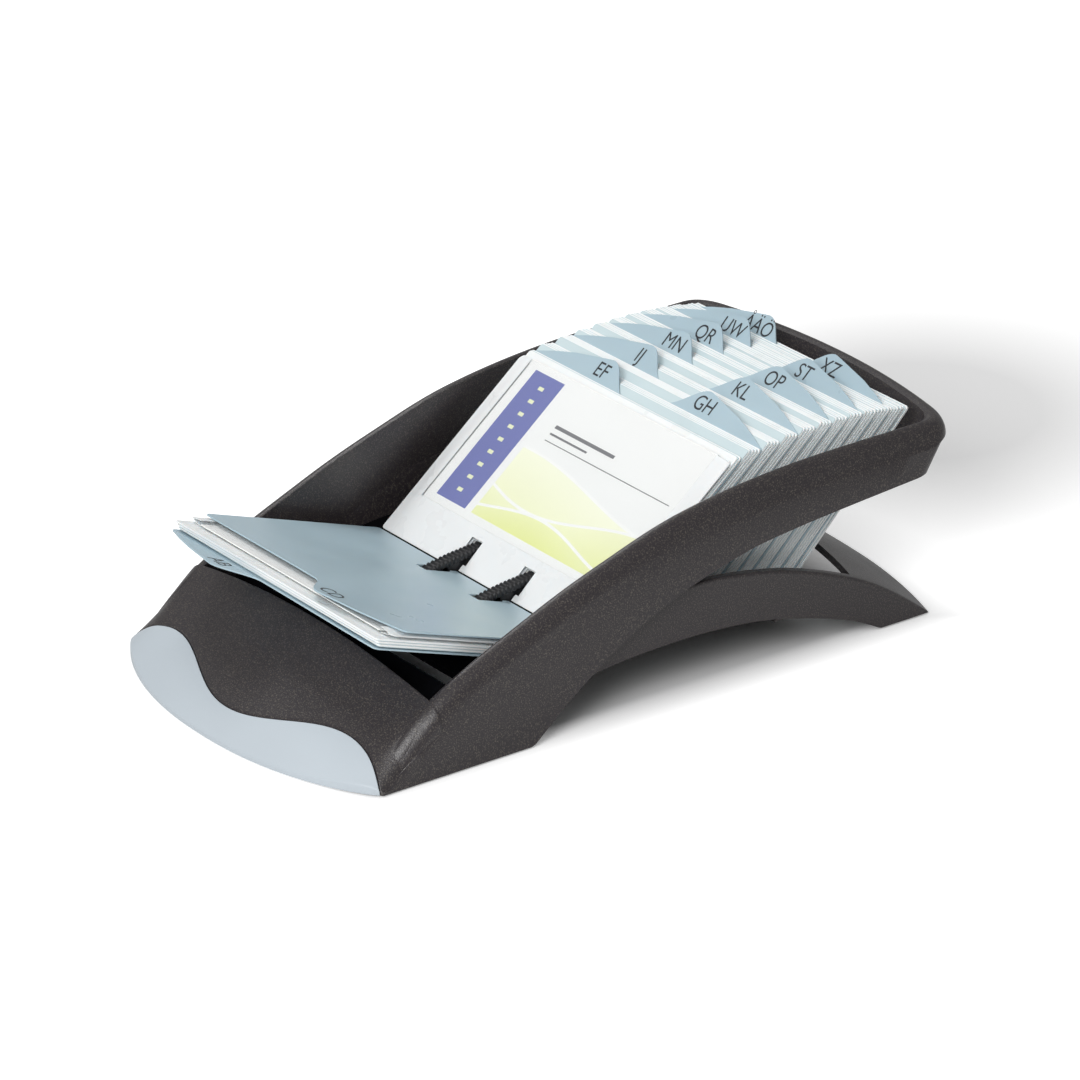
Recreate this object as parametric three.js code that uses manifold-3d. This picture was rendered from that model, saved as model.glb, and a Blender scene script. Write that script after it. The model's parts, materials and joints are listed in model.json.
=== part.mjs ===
// Desktop flip file for business cards: a curved tray crossed by an arched stand, with two ribbed
// rails that carry lettered dividers and card pockets.
// Millimetres. X runs across, Y from the nose (-) to the rear (+), Z up from the table.
import * as THREE from "three";
import { mergeVertices } from "three/addons/utils/BufferGeometryUtils.js";
import Module from "manifold-3d";

const wasm = await Module();
wasm.setup();

// Overall
const BODY_WIDTH = 131;
const BODY_LENGTH = 242;
const WALL_HEIGHT = 63.2; // top of the rear wall
const SOLE = 0.6; // how far the mouldings stand off the table, on their feet
const SEAT_GAP = 0.3; // clearance between a piece and its seat
const SMALLEST = 0.01; // edges shorter than this are drawn together

const HALF_WIDTH = BODY_WIDTH / 2;
const NOSE_Y = -BODY_LENGTH / 2;
const REAR_Y = BODY_LENGTH / 2;
const along = (share) => share * BODY_LENGTH; // places along Y, as shares of the length from its middle

// Tray
const ARM_WALL = 4.5;
const ARM_LEAN = 7.3; // how far the top edge leans in from the foot of the wall
const ARM_ROUND = 5.5; // rounding of the outer top edge
const ARM_RISE_Y = along(-0.194); // where the arms leave the table
const WALL_END_Y = along(0.413); // behind it the wall keeps its height
const NOSE_DEPTH = along(0.0826); // how far the nose bows out in front of its corners
const NOSE_CORNER_Y = NOSE_Y + NOSE_DEPTH;
const NOSE_POWER = 2.2;
const NOSE_FULLNESS = 0.83;
const PLATE_REAR_Y = along(-0.33);
const PLATE_SKIN = 2.8;
const PLATE_CROWN = 5;
const PLATE_SOFT = 6; // how much wider the side edges of the plate are rounded at the nose
const PLATE_RISE = [-0.047, 0.337, 0.068]; // height of the plate along it, in shares of the wall height
const HOLLOW_HALF = HALF_WIDTH - 8.5; // half width of the hollow under the plate
const REAR_BOW = 8; // bow of the rear wall in plan
const REAR_LEAN = 8.5;
const REAR_CORNER = 9;
const SHELF_LENGTH = 17;
const SHELF_THICKNESS = 2.4;

// Nose grip
const GRIP_SKIN = 2.2;
const GRIP_EDGE_Y = NOSE_Y + NOSE_DEPTH * 0.8;
const GRIP_WAVE = 6.5;
const GRIP_WAVE_HALF = HALF_WIDTH * 0.733;

// Arched stand
const STAND_INSET = 2.3; // side of the stand inside the side of the tray
const STAND_HALF = HALF_WIDTH - STAND_INSET;
const STAND_SKIN = 2.4;
const STAND_FLANGE = 3;
const STAND_FRONT_Y = along(-0.325);
const STAND_REAR_Y = along(0.442);
const STAND_BOW = 11.5;
const STAND_BOW_SPAN = [along(0.02), along(0.31)]; // the bow grows between these
const WELL_HALF_WIDTH = STAND_HALF - 7.7;
const WELL_FRONT_Y = along(-0.2645);
const WELL_REAR_Y = along(0.302);
const PAD_LENGTH = 8;
const PAD_REACH = 3;
const PAD_THICKNESS = 1.2;
const PAD_PLACES = [along(-0.083), along(0.062), along(0.207)];

// Leaves: dividers, pockets and packs of pockets
const LEAF_ROOM = 3.5; // clearance of a leaf beside it in the well
const LEAF_WIDTH = 2 * (WELL_HALF_WIDTH - LEAF_ROOM);
const LEAF_HEIGHT = 69.3;
const LEAF_FOOT = 1.15; // foot of a pack below its turning line
const SHEET_FOOT = 1.8; // foot of a divider or a single pocket below it
const LEAF_TOP = LEAF_HEIGHT - LEAF_FOOT;
const PIVOT_LIFT = 2.4; // turning line above the carrier
const SLOT_WIDTH = 5.4;
const SLOT_MOUTH = 2.7;
const SLOT_LIP = 0.45; // top of the hooked lips above the turning line
const SLOT_TOP = 12;
const DIVIDER_THICKNESS = 0.45;
const DIVIDER_SHORT = 2.2; // shoulder of a divider below the top of the pockets
const TAB_HEIGHT = 7.3;
const TAB_KNEE = LEAF_WIDTH * 0.08; // knee of the ramp from the outer edge
const TAB_KNEE_RISE = 1.5;
const TAB_DROP = 1.6;
const TAB_RAMP = LEAF_WIDTH * 0.288;
const TAB_CORNER = LEAF_WIDTH * 0.333;
const TAB_END = LEAF_WIDTH * 0.447;
const LEAF_GAP = 0.3;
const POCKET_THICKNESS = 2;
const POCKET_FILM = 0.35;
const POCKET_SEAM = 4;
const CARD_MARGIN = 6; // from the edge of the leaf to the edge of the card
const CARD_HALF = LEAF_WIDTH / 2 - CARD_MARGIN;
const CARD_HEIGHT = 55;
const CARD_THICKNESS = 0.4;
const PAGE_STEP = 0.45; // how much neighbouring pages of a pack differ in size
const PAGES_SHOWN = 5;
const PAGE_CLIMB = 0.9; // how much higher a page stands for each millimetre behind the middle of its pack

// Rail carrier and rails
const CARRIER_FRONT_Y = along(-0.2066);
const CARRIER_REAR_Y = along(0.289);
const CARRIER_THICKNESS = 1.8;
const RAIL_X = LEAF_WIDTH * 0.129;
const RAIL_FRONT_Y = along(-0.1736);
const RAIL_REAR_Y = along(0.2397);
const RAIL_WEB = 1.6;
const RAIL_HEAD_WIDTH = 4.2;
const RAIL_HEAD_LIFT = 4.5; // underside of the head above the carrier
const RAIL_HEAD_THICKNESS = 2.1;
const RIB_PITCH = 1.5;
const RIB_HEIGHT = 0.5;
const RIB_FLANK = 0.15;
const RAIL_TAB_LENGTH = 9;
const RAIL_TAB_PLACES = [along(-0.107), along(0.025), along(0.157)];

// Rear stack
const STACK_FRONT_Y = along(-0.0674);
const STACK_LEAN = 39.4; // degrees above the rear horizon, at the front of the stack
const STACK_FAN = 0.28; // degrees added at each leaf
const ROOT_SLACK = 0.2;
const SECTION = along(0.01983); // from one divider to the next, square to them
const PACK = SECTION - DIVIDER_THICKNESS - 2 * (LEAF_GAP + ROOT_SLACK);
const FIRST_PACK = PACK / 3;
const LAST_PACK = PACK * 0.42;

// Front pile
const PILE_FRONT_Y = STACK_FRONT_Y - 4.3;
const PILE_LEAN = 19; // degrees above the front horizon
const PILE_PACK = 2.4;

// Feet and screws
const FOOT_RADIUS = 5;
const FOOT_THICKNESS = 1.6;
const FOOT_BOSS = 6.4;
const FOOT_X = HALF_WIDTH - 19.5;
const FRONT_FOOT = { x: FOOT_X, y: NOSE_Y + 25 };
const REAR_FOOT = { x: FOOT_X - 6, y: REAR_Y - 16 };
const SCREW_RADIUS = 1.3;
const SCREW_HEAD_RADIUS = 2.6;
const SCREW_HEAD = 1.6;
const SCREW_LENGTH = 9;
const SCREW_BOSS = 4.4;
const SCREW_SEAT_DEPTH = 2.2; // seat of the head below the stand's skin
const SCREW_PLACE = { x: FOOT_X, y: PLATE_REAR_Y + 8.5 };

const radians = THREE.MathUtils.degToRad;

// Side profiles, each a smooth curve through points given in shares of the body's length and the
// wall's height
const profile = (...points) =>
  new THREE.SplineCurve(points.map(([y, z]) => new THREE.Vector2(along(y), z * WALL_HEIGHT)));
const ARM_TOP = profile(
  [-0.4174, 0.07],
  [-0.3306, 0.361],
  [-0.1818, 0.633],
  [-0.0727, 0.791],
  [0.0413, 0.918],
  [0.1983, 0.99],
  [0.413, 1],
);
const ARM_FOOT = profile(
  [-0.1942, 0.009],
  [-0.1384, 0.187],
  [-0.064, 0.38],
  [0.0207, 0.538],
  [0.12, 0.652],
  [0.215, 0.706],
  [0.413, 0.767],
);
const STAND_TOP = profile(
  [-0.325, 0.089],
  [-0.1653, 0.399],
  [-0.0537, 0.498],
  [0.0537, 0.557],
  [0.1405, 0.525],
  [0.2231, 0.451],
  [0.3182, 0.31],
  [0.3843, 0.161],
  [0.4442, -0.013],
);
const STAND_UNDER = profile(
  [-0.2975, -0.016],
  [-0.2314, 0.111],
  [-0.1033, 0.255],
  [0.0331, 0.29],
  [0.1434, 0.266],
  [0.2231, 0.204],
  [0.3058, 0.106],
  [0.3678, -0.013],
);

// Height of a profile at a place along Y, by halving its parameter.
function heightAt(curve, y) {
  let low = 0;
  let high = 1;
  for (let i = 0; i < 30; i += 1) {
    const middle = (low + high) / 2;
    if (curve.getPoint(middle).x < y) low = middle;
    else high = middle;
  }
  return curve.getPoint(low).y;
}

const carrierUnder = (y) => heightAt(STAND_UNDER, y) + SEAT_GAP;
const carrierTop = (y) => carrierUnder(y) + CARRIER_THICKNESS;

// Numbers from start to end, count steps
const steps = (start, end, count) =>
  Array.from({ length: count + 1 }, (_, i) => start + ((end - start) * i) / count);

// Solids and meshes
function solid(geometry) {
  const bare = geometry.index ? geometry.toNonIndexed() : geometry.clone();
  bare.deleteAttribute("normal");
  bare.deleteAttribute("uv");
  const merged = mergeVertices(bare, 1e-4);
  return new wasm.Manifold(
    new wasm.Mesh({
      numProp: 3,
      vertProperties: merged.attributes.position.array,
      triVerts: new Uint32Array(merged.index.array),
    }),
  );
}

function surface(body) {
  const mesh = body.simplify(SMALLEST).getMesh();
  const geometry = new THREE.BufferGeometry();
  geometry.setAttribute("position", new THREE.BufferAttribute(new Float32Array(mesh.vertProperties), 3));
  geometry.setIndex(new THREE.BufferAttribute(new Uint32Array(mesh.triVerts), 1));
  return geometry;
}

const union = (bodies) => bodies.reduce((sum, body) => sum.add(body));
const cut = (body, tools) => tools.reduce((rest, tool) => rest.subtract(tool), body);

// A body through rings of points, all of one count, with flat ends triangulated in the (y, z) plane
// or, for rings across a wall, in the plane that flatten gives.
function loft(rings, flatten = (p) => new THREE.Vector2(p.y, p.z)) {
  const count = rings[0].length;
  const faces = [];
  for (let i = 0; i < rings.length - 1; i += 1) {
    for (let k = 0; k < count; k += 1) {
      const a = i * count + k;
      const b = i * count + ((k + 1) % count);
      faces.push(a, b, b + count, a, b + count, a + count);
    }
  }
  const last = (rings.length - 1) * count;
  const first = rings[0].map(flatten);
  const clockwise = THREE.ShapeUtils.isClockWise(first);
  const cap = THREE.ShapeUtils.triangulateShape(clockwise ? first.slice().reverse() : first, []);
  cap.forEach((triangle) => {
    const [a, b, c] = clockwise ? triangle.map((i) => count - 1 - i).reverse() : triangle;
    faces.push(c, b, a, last + a, last + b, last + c);
  });
  const points = rings.flat();
  let volume = 0;
  for (let i = 0; i < faces.length; i += 3) {
    const [a, b, c] = [points[faces[i]], points[faces[i + 1]], points[faces[i + 2]]];
    volume += a.dot(new THREE.Vector3().crossVectors(b, c));
  }
  const geometry = new THREE.BufferGeometry().setFromPoints(points);
  geometry.setIndex(volume < 0 ? faces.reverse() : faces);
  return solid(geometry);
}

// A (y, z) outline carried along X, from low to high
function prismX(points, low, high) {
  const shape = new THREE.Shape(points.map(([y, z]) => new THREE.Vector2(y, z)));
  const geometry = new THREE.ExtrudeGeometry(shape, { depth: high - low, bevelEnabled: false });
  const turn = new THREE.Matrix4().makeBasis(
    new THREE.Vector3(0, 1, 0),
    new THREE.Vector3(0, 0, 1),
    new THREE.Vector3(1, 0, 0),
  );
  return solid(geometry.applyMatrix4(turn).translate(low, 0, 0));
}

// The same between two distances from the middle, on one side of it
function prismSide(points, side, inner, outer) {
  return side > 0 ? prismX(points, inner, outer) : prismX(points, -outer, -inner);
}

// An (x, y) outline carried along Z, from low to high
function prismZ(points, low, high) {
  const shape = new THREE.Shape(points.map(([x, y]) => new THREE.Vector2(x, y)));
  const geometry = new THREE.ExtrudeGeometry(shape, { depth: high - low, bevelEnabled: false });
  return solid(geometry.translate(0, 0, low));
}

function block([x0, x1], [y0, y1], [z0, z1]) {
  const geometry = new THREE.BoxGeometry(x1 - x0, y1 - y0, z1 - z0);
  return solid(geometry.translate((x0 + x1) / 2, (y0 + y1) / 2, (z0 + z1) / 2));
}

function post(x, y, z0, z1, radius, sides = 24) {
  const geometry = new THREE.CylinderGeometry(radius, radius, z1 - z0, sides);
  return solid(geometry.rotateX(Math.PI / 2).translate(x, y, (z0 + z1) / 2));
}

// Nose outline in plan: a full bow that tightens into the corners
function noseY(x, halfWidth = HALF_WIDTH) {
  const share = Math.min(Math.abs(x) / halfWidth, 1);
  return NOSE_CORNER_Y - NOSE_DEPTH * (1 - share ** NOSE_POWER) ** NOSE_FULLNESS;
}

// Top of the front plate, crowned across and rounded down at its sides
function plateTop(x, y) {
  const share = (y - NOSE_Y) / (PLATE_REAR_Y - NOSE_Y);
  const soft = ARM_ROUND + PLATE_SOFT * Math.min((1 - share) * 2, 1);
  const side = HALF_WIDTH - soft;
  const rise = WALL_HEIGHT * (PLATE_RISE[0] + PLATE_RISE[1] * share + PLATE_RISE[2] * share * share);
  const crown = PLATE_CROWN * (1 - (x / side) ** 2);
  const past = Math.max(Math.abs(x) - side, 0) / soft;
  const drop = Math.min(soft, Math.max(rise - SOLE, 0) * 0.75);
  return Math.max(rise + crown - drop * (1 - Math.sqrt(1 - Math.min(past, 1) ** 2)), SOLE + 1);
}

// The wedge under the front plate, drawn in all round by inset
function frontWedge(inset) {
  const rings = steps(-Math.PI / 2, Math.PI / 2, 26).map((turn) => {
    const x = (HALF_WIDTH - inset) * Math.sin(turn);
    const front = noseY(x, HALF_WIDTH - inset) + inset;
    const top = steps(front, PLATE_REAR_Y, 7).map(
      (y) => new THREE.Vector3(x, y, Math.max(plateTop(x, y) - inset, SOLE + 0.6)),
    );
    return [new THREE.Vector3(x, PLATE_REAR_Y, SOLE), new THREE.Vector3(x, front, SOLE), ...top];
  });
  return loft(rings);
}

// Everything in front of the wavy joint between plate and grip, moved back by shift
function gripZone(shift) {
  const edge = steps(-BODY_WIDTH, BODY_WIDTH, 80).map((x) => [
    x,
    GRIP_EDGE_Y + shift - GRIP_WAVE * Math.cos((Math.PI * x) / GRIP_WAVE_HALF),
  ]);
  const front = NOSE_Y - NOSE_DEPTH;
  return prismZ([...edge.reverse(), [-BODY_WIDTH, front], [BODY_WIDTH, front]], -WALL_HEIGHT, WALL_HEIGHT);
}

// One level line of the tray wall in plan: along the right side, round the bowed rear, and back
function wallLine(halfWidth, rearY) {
  const corner = halfWidth - REAR_CORNER;
  const bow = (x) => rearY - REAR_BOW * (x / halfWidth) ** 2;
  const side = steps(NOSE_CORNER_Y + 1.2, bow(corner) - REAR_CORNER, 22).map((y) => new THREE.Vector2(halfWidth, y));
  const end = side[side.length - 1];
  const turn = new THREE.QuadraticBezierCurve(
    end,
    new THREE.Vector2(halfWidth, bow(halfWidth)),
    new THREE.Vector2(corner, bow(corner)),
  );
  const rear = steps(corner, 0, 5).map((x) => new THREE.Vector2(x, bow(x)));
  const right = [...side, ...turn.getPoints(5).slice(1), ...rear.slice(1)];
  const left = right.slice(0, -1).reverse().map((p) => new THREE.Vector2(-p.x, p.y));
  return [...right, ...left];
}

// The wall that runs down both arms and round the rear, leaning in at the sides and out at the rear
function trayWall() {
  const levels = [
    { width: HALF_WIDTH, rear: REAR_Y - REAR_LEAN, share: 0, drop: 0 },
    { width: HALF_WIDTH - 0.4, rear: REAR_Y - 3, share: 0.55, drop: 0 },
    { width: HALF_WIDTH - 1.6, rear: REAR_Y - 0.2, share: 1, drop: 0.95 },
    { width: HALF_WIDTH - 2.6, rear: REAR_Y, share: 1, drop: 0.5 },
    { width: HALF_WIDTH - 4.4, rear: REAR_Y - 0.5, share: 1, drop: 0.14 },
    { width: HALF_WIDTH - 6.2, rear: REAR_Y - 1.8, share: 1, drop: 0 },
    { width: HALF_WIDTH - ARM_LEAN, rear: REAR_Y - 4, share: 1, drop: 0.1 },
    { width: HALF_WIDTH - ARM_WALL, rear: REAR_Y - REAR_LEAN - ARM_WALL, share: 0, drop: 0 },
  ];
  const lines = levels.map(({ width, rear }) => wallLine(width, rear));
  const outer = lines[0];
  const rings = outer.map((place, i) => {
    const y = Math.min(place.y, WALL_END_Y);
    const foot = y < ARM_RISE_Y ? SOLE : heightAt(ARM_FOOT, y);
    const top = heightAt(ARM_TOP, y);
    const round = Math.min(ARM_ROUND, (top - foot) * 0.6);
    return levels.map(({ share, drop }, k) => {
      const z = foot + (top - foot) * share - drop * round;
      return new THREE.Vector3(lines[k][i].x, lines[k][i].y, z);
    });
  });
  return loft(rings, (p) => new THREE.Vector2(p.x, p.z));
}

// Outline between two profiles, as a closed run of (y, z)
function band(upper, lower, from, to, count) {
  const over = steps(from, to, count).map((y) => [y, upper(y)]);
  const under = steps(to, from, count).map((y) => [y, lower(y)]);
  return [...over, ...under];
}

// Side plate of the stand, grown all round by spare, and inwards by reach
function standFlange(side, spare, reach = 0) {
  const outline = band(
    (y) => heightAt(STAND_TOP, y) + spare,
    (y) => Math.min(heightAt(STAND_UNDER, y), heightAt(STAND_TOP, y) - 1) - spare,
    STAND_FRONT_Y - spare,
    STAND_REAR_Y,
    40,
  );
  const inner = STAND_HALF - STAND_FLANGE - spare - reach;
  return prismSide(outline, side, inner, STAND_HALF + spare);
}

// How far the stand's skin bows to the rear at a place
function standBow(x, y) {
  const grown = THREE.MathUtils.smoothstep(y, ...STAND_BOW_SPAN);
  return STAND_BOW * (1 - (x / STAND_HALF) ** 2) * grown;
}

function standSkin() {
  const places = steps(STAND_FRONT_Y, STAND_REAR_Y, 30);
  const rings = steps(-STAND_HALF, STAND_HALF, 16).map((x) => {
    const over = places.map((y) => new THREE.Vector3(x, y + standBow(x, y), heightAt(STAND_TOP, y)));
    const under = places
      .slice()
      .reverse()
      .map((y) => {
        const slope = (heightAt(STAND_TOP, y + 1) - heightAt(STAND_TOP, y - 1)) / 2;
        const thick = STAND_SKIN * Math.hypot(1, slope);
        return new THREE.Vector3(x, y + standBow(x, y), heightAt(STAND_TOP, y) - thick);
      });
    return [...over, ...under];
  });
  return loft(rings);
}

const aboveTable = () => block([-BODY_WIDTH, BODY_WIDTH], [-BODY_LENGTH, BODY_LENGTH], [SOLE, 2 * WALL_HEIGHT]);

function baseArch() {
  const rear = steps(WELL_HALF_WIDTH, -WELL_HALF_WIDTH, 12).map((x) => [
    x,
    WELL_REAR_Y + standBow(x, WELL_REAR_Y) + 2,
  ]);
  const well = prismZ(
    [[-WELL_HALF_WIDTH, WELL_FRONT_Y], [WELL_HALF_WIDTH, WELL_FRONT_Y], ...rear],
    0,
    2 * WALL_HEIGHT,
  );
  const pads = PAD_PLACES.flatMap((y) => [-1, 1].flatMap((side) => carrierPad(y, side)));
  const bosses = [-1, 1].flatMap((side) => [
    post(side * REAR_FOOT.x, REAR_FOOT.y, SOLE, WALL_HEIGHT, FOOT_BOSS).intersect(underStandTop()),
    post(side * SCREW_PLACE.x, SCREW_PLACE.y, screwSeat(), WALL_HEIGHT, SCREW_BOSS).intersect(underStandTop()),
  ]);
  const skin = cut(standSkin(), [well]);
  const body = union([skin, standFlange(-1, 0), standFlange(1, 0), ...pads, ...bosses]).intersect(aboveTable());
  const seats = [-1, 1].map((side) =>
    post(side * REAR_FOOT.x, REAR_FOOT.y, -1, FOOT_THICKNESS + SEAT_GAP, FOOT_RADIUS + SEAT_GAP),
  );
  const bores = [-1, 1].map((side) =>
    post(side * SCREW_PLACE.x, SCREW_PLACE.y, -1, WALL_HEIGHT, SCREW_RADIUS + SEAT_GAP, 12),
  );
  return cut(body, [...seats, ...bores]);
}

// What lies under the stand's skin, drawn in a little so that bosses end within it
function underStandTop() {
  const under = (spare) => (y) => heightAt(STAND_TOP, y) - spare;
  const front = band(under(0.4), () => -2, STAND_FRONT_Y, STAND_BOW_SPAN[0], 10);
  const rear = band(under(0.6), () => -2, STAND_BOW_SPAN[1] - 15, STAND_REAR_Y, 10);
  const shift = standBow(REAR_FOOT.x + FOOT_BOSS, REAR_FOOT.y);
  return prismX(front, -STAND_HALF, STAND_HALF).add(prismX(rear, -STAND_HALF, STAND_HALF).translate([0, shift, 0]));
}

// A ledge on the side plate that the carrier rests on
function carrierPad(y, side) {
  const under = (at) => heightAt(STAND_UNDER, at);
  const [from, to] = [y - PAD_LENGTH / 2, y + PAD_LENGTH / 2];
  const face = STAND_HALF - STAND_FLANGE;
  const ledge = band(under, (at) => under(at) - PAD_THICKNESS, from, to, 4);
  const root = band((at) => under(at) + 2, (at) => under(at) - PAD_THICKNESS, from, to, 4);
  return [prismSide(ledge, side, face - PAD_REACH, face + 0.8), prismSide(root, side, face + 0.2, face + 0.8)];
}

const screwSeat = () => heightAt(STAND_TOP, SCREW_PLACE.y) - STAND_SKIN - SCREW_SEAT_DEPTH;

const railX = (side) => side * RAIL_X;

function railCarrier() {
  const outline = band(carrierTop, carrierUnder, CARRIER_FRONT_Y, CARRIER_REAR_Y, 30);
  const half = STAND_HALF - STAND_FLANGE - SEAT_GAP;
  const slots = RAIL_TAB_PLACES.flatMap((y) =>
    [-1, 1].map((side) => {
      const reach = RAIL_WEB / 2 + SEAT_GAP;
      const length = RAIL_TAB_LENGTH / 2 + SEAT_GAP;
      return block([railX(side) - reach, railX(side) + reach], [y - length, y + length], [0, WALL_HEIGHT]);
    }),
  );
  return cut(prismX(outline, -half, half), slots);
}

// Ribbed top of a rail: one rib for every pitch, with a flat crest and a flat root
function ribLine(y) {
  const phase = (((y - RAIL_FRONT_Y) % RIB_PITCH) + RIB_PITCH) % RIB_PITCH;
  return phase < RIB_PITCH / 2 ? RIB_HEIGHT : 0;
}

const headUnder = (y) => carrierTop(y) + RAIL_HEAD_LIFT;
const railTop = (y) => headUnder(y) + RAIL_HEAD_THICKNESS;

function rail(side) {
  const x = railX(side);
  const ribs = Math.floor((RAIL_REAR_Y - RAIL_FRONT_Y) / RIB_PITCH);
  const crest = steps(0, ribs - 1, ribs - 1).flatMap((i) => {
    const y = RAIL_FRONT_Y + i * RIB_PITCH;
    const half = RIB_PITCH / 2;
    return [
      [y, railTop(y)],
      [y + RIB_FLANK, railTop(y) + ribLine(y)],
      [y + half - RIB_FLANK, railTop(y + half) + ribLine(y)],
      [y + half, railTop(y + half)],
    ];
  });
  const under = steps(RAIL_FRONT_Y + (ribs - 1) * RIB_PITCH + RIB_PITCH / 2, RAIL_FRONT_Y, 24).map((y) => [
    y,
    headUnder(y),
  ]);
  const head = prismX([...crest, ...under], x - RAIL_HEAD_WIDTH / 2, x + RAIL_HEAD_WIDTH / 2);
  const webLine = band(
    (y) => headUnder(y) + RAIL_HEAD_THICKNESS / 2,
    (y) => carrierTop(y) + SEAT_GAP,
    RAIL_FRONT_Y + 1,
    RAIL_REAR_Y,
    24,
  );
  const web = prismX(webLine, x - RAIL_WEB / 2, x + RAIL_WEB / 2);
  const tabs = RAIL_TAB_PLACES.map((y) => {
    const low = Math.min(carrierUnder(y - RAIL_TAB_LENGTH / 2), carrierUnder(y + RAIL_TAB_LENGTH / 2));
    return block(
      [x - RAIL_WEB / 2, x + RAIL_WEB / 2],
      [y - RAIL_TAB_LENGTH / 2, y + RAIL_TAB_LENGTH / 2],
      [low - 1, headUnder(y)],
    );
  });
  return union([head, web, ...tabs]);
}

function trayFrame() {
  const plate = union([
    frontWedge(0).subtract(gripZone(SEAT_GAP / 2)),
    frontWedge(GRIP_SKIN + SEAT_GAP),
  ]);
  const core = frontWedge(GRIP_SKIN + SEAT_GAP + PLATE_SKIN);
  const hollow = core
    .add(core.translate([0, 0, -2]))
    .intersect(block([-HOLLOW_HALF, HOLLOW_HALF], [NOSE_Y, PLATE_REAR_Y - PLATE_SKIN], [-2, WALL_HEIGHT]));
  const bosses = [-1, 1].map((side) =>
    post(side * FRONT_FOOT.x, FRONT_FOOT.y, SOLE, WALL_HEIGHT, FOOT_BOSS).intersect(frontWedge(GRIP_SKIN + SEAT_GAP)),
  );
  const shelfLine = band(
    (y) => shelfUnder(y) + SHELF_THICKNESS,
    shelfUnder,
    PLATE_REAR_Y - 1,
    PLATE_REAR_Y + SHELF_LENGTH,
    6,
  );
  const shelf = prismX(shelfLine, -HALF_WIDTH + ARM_WALL - 1, HALF_WIDTH - ARM_WALL + 1);
  const body = union([cut(plate, [hollow]), ...bosses, trayWall(), shelf]);
  const laps = [-1, 1].map((side) => standFlange(side, SEAT_GAP, 3));
  const seats = [-1, 1].map((side) =>
    post(side * FRONT_FOOT.x, FRONT_FOOT.y, -1, FOOT_THICKNESS + SEAT_GAP, FOOT_RADIUS + SEAT_GAP),
  );
  const bores = [-1, 1].map((side) =>
    post(side * SCREW_PLACE.x, SCREW_PLACE.y, 0, WALL_HEIGHT, SCREW_RADIUS + SEAT_GAP, 12),
  );
  return cut(body, [...laps, ...seats, ...bores]);
}

const shelfUnder = (y) => heightAt(STAND_TOP, Math.max(y, STAND_FRONT_Y)) + SEAT_GAP;

function noseGrip() {
  return frontWedge(0)
    .intersect(gripZone(-SEAT_GAP / 2))
    .subtract(frontWedge(GRIP_SKIN));
}

function foot(place, side) {
  return post(side * place.x, place.y, 0, FOOT_THICKNESS, FOOT_RADIUS);
}

function frameScrew(side) {
  const x = side * SCREW_PLACE.x;
  const top = screwSeat() - SEAT_GAP / 2;
  const head = post(x, SCREW_PLACE.y, top - SCREW_HEAD, top, SCREW_HEAD_RADIUS, 16);
  const shank = post(x, SCREW_PLACE.y, top - SCREW_HEAD / 2, top + SCREW_LENGTH - SCREW_HEAD, SCREW_RADIUS, 12);
  return union([head, shank]);
}

// Leaf geometry in its own plane: x across, y up the leaf from its turning line, z through it
function leafPlate(shape, low, high) {
  const geometry = new THREE.ExtrudeGeometry(shape, { depth: high - low, bevelEnabled: false });
  return solid(geometry.translate(0, 0, low));
}

function rectangle(x0, x1, y0, y1) {
  return new THREE.Shape([
    new THREE.Vector2(x0, y0),
    new THREE.Vector2(x1, y0),
    new THREE.Vector2(x1, y1),
    new THREE.Vector2(x0, y1),
  ]);
}

// The two keyhole slots that hook a leaf on its rails
function slotTools(reach) {
  return [-1, 1].flatMap((side) => {
    const x = railX(side);
    return [
      leafPlate(rectangle(x - SLOT_MOUTH / 2, x + SLOT_MOUTH / 2, -5, SLOT_LIP + 1), -reach, reach),
      leafPlate(rectangle(x - SLOT_WIDTH / 2, x + SLOT_WIDTH / 2, SLOT_LIP, SLOT_TOP), -reach, reach),
    ];
  });
}

// Divider outline: a sheet whose top swells into a lettered tab on one side
function dividerShape(side) {
  const half = LEAF_WIDTH / 2;
  const shape = new THREE.Shape();
  const shoulder = LEAF_TOP - DIVIDER_SHORT;
  shape.moveTo(-half, -SHEET_FOOT);
  shape.lineTo(half, -SHEET_FOOT);
  shape.lineTo(half, shoulder);
  shape.lineTo(TAB_END - half, shoulder);
  shape.bezierCurveTo(
    TAB_END - half - 5,
    shoulder,
    TAB_CORNER - half + 3,
    LEAF_TOP + TAB_HEIGHT,
    TAB_CORNER - half - 2,
    LEAF_TOP + TAB_HEIGHT,
  );
  shape.lineTo(TAB_RAMP - half, LEAF_TOP + TAB_HEIGHT - 0.5);
  shape.lineTo(TAB_KNEE - half, LEAF_TOP + TAB_KNEE_RISE);
  shape.lineTo(-half, LEAF_TOP - TAB_DROP);
  if (side < 0) return shape;
  const points = shape.getPoints(5).map((p) => new THREE.Vector2(-p.x, p.y));
  return new THREE.Shape(points.reverse());
}

function divider(side) {
  const plate = leafPlate(new THREE.Shape(dividerShape(side).getPoints(5)), -DIVIDER_THICKNESS / 2, DIVIDER_THICKNESS / 2);
  return cut(plate, slotTools(DIVIDER_THICKNESS));
}

// A pack of pockets whose pages differ a little in size, so that its edges show them
function pocketPack(thickness) {
  const page = thickness / PAGES_SHOWN;
  const pages = steps(0, PAGES_SHOWN - 1, PAGES_SHOWN - 1).map((i) => {
    const trim = (i % 2) * PAGE_STEP + (i % 3) * PAGE_STEP * 0.4;
    const half = LEAF_WIDTH / 2 - trim;
    const low = -thickness / 2 + i * page;
    const root = i > 0 ? page / 8 : 0;
    const top = LEAF_TOP - trim - (low + page / 2) * PAGE_CLIMB;
    return leafPlate(rectangle(-half, half, -LEAF_FOOT, top), low - root, low + page);
  });
  return cut(union(pages), slotTools(thickness));
}

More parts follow.
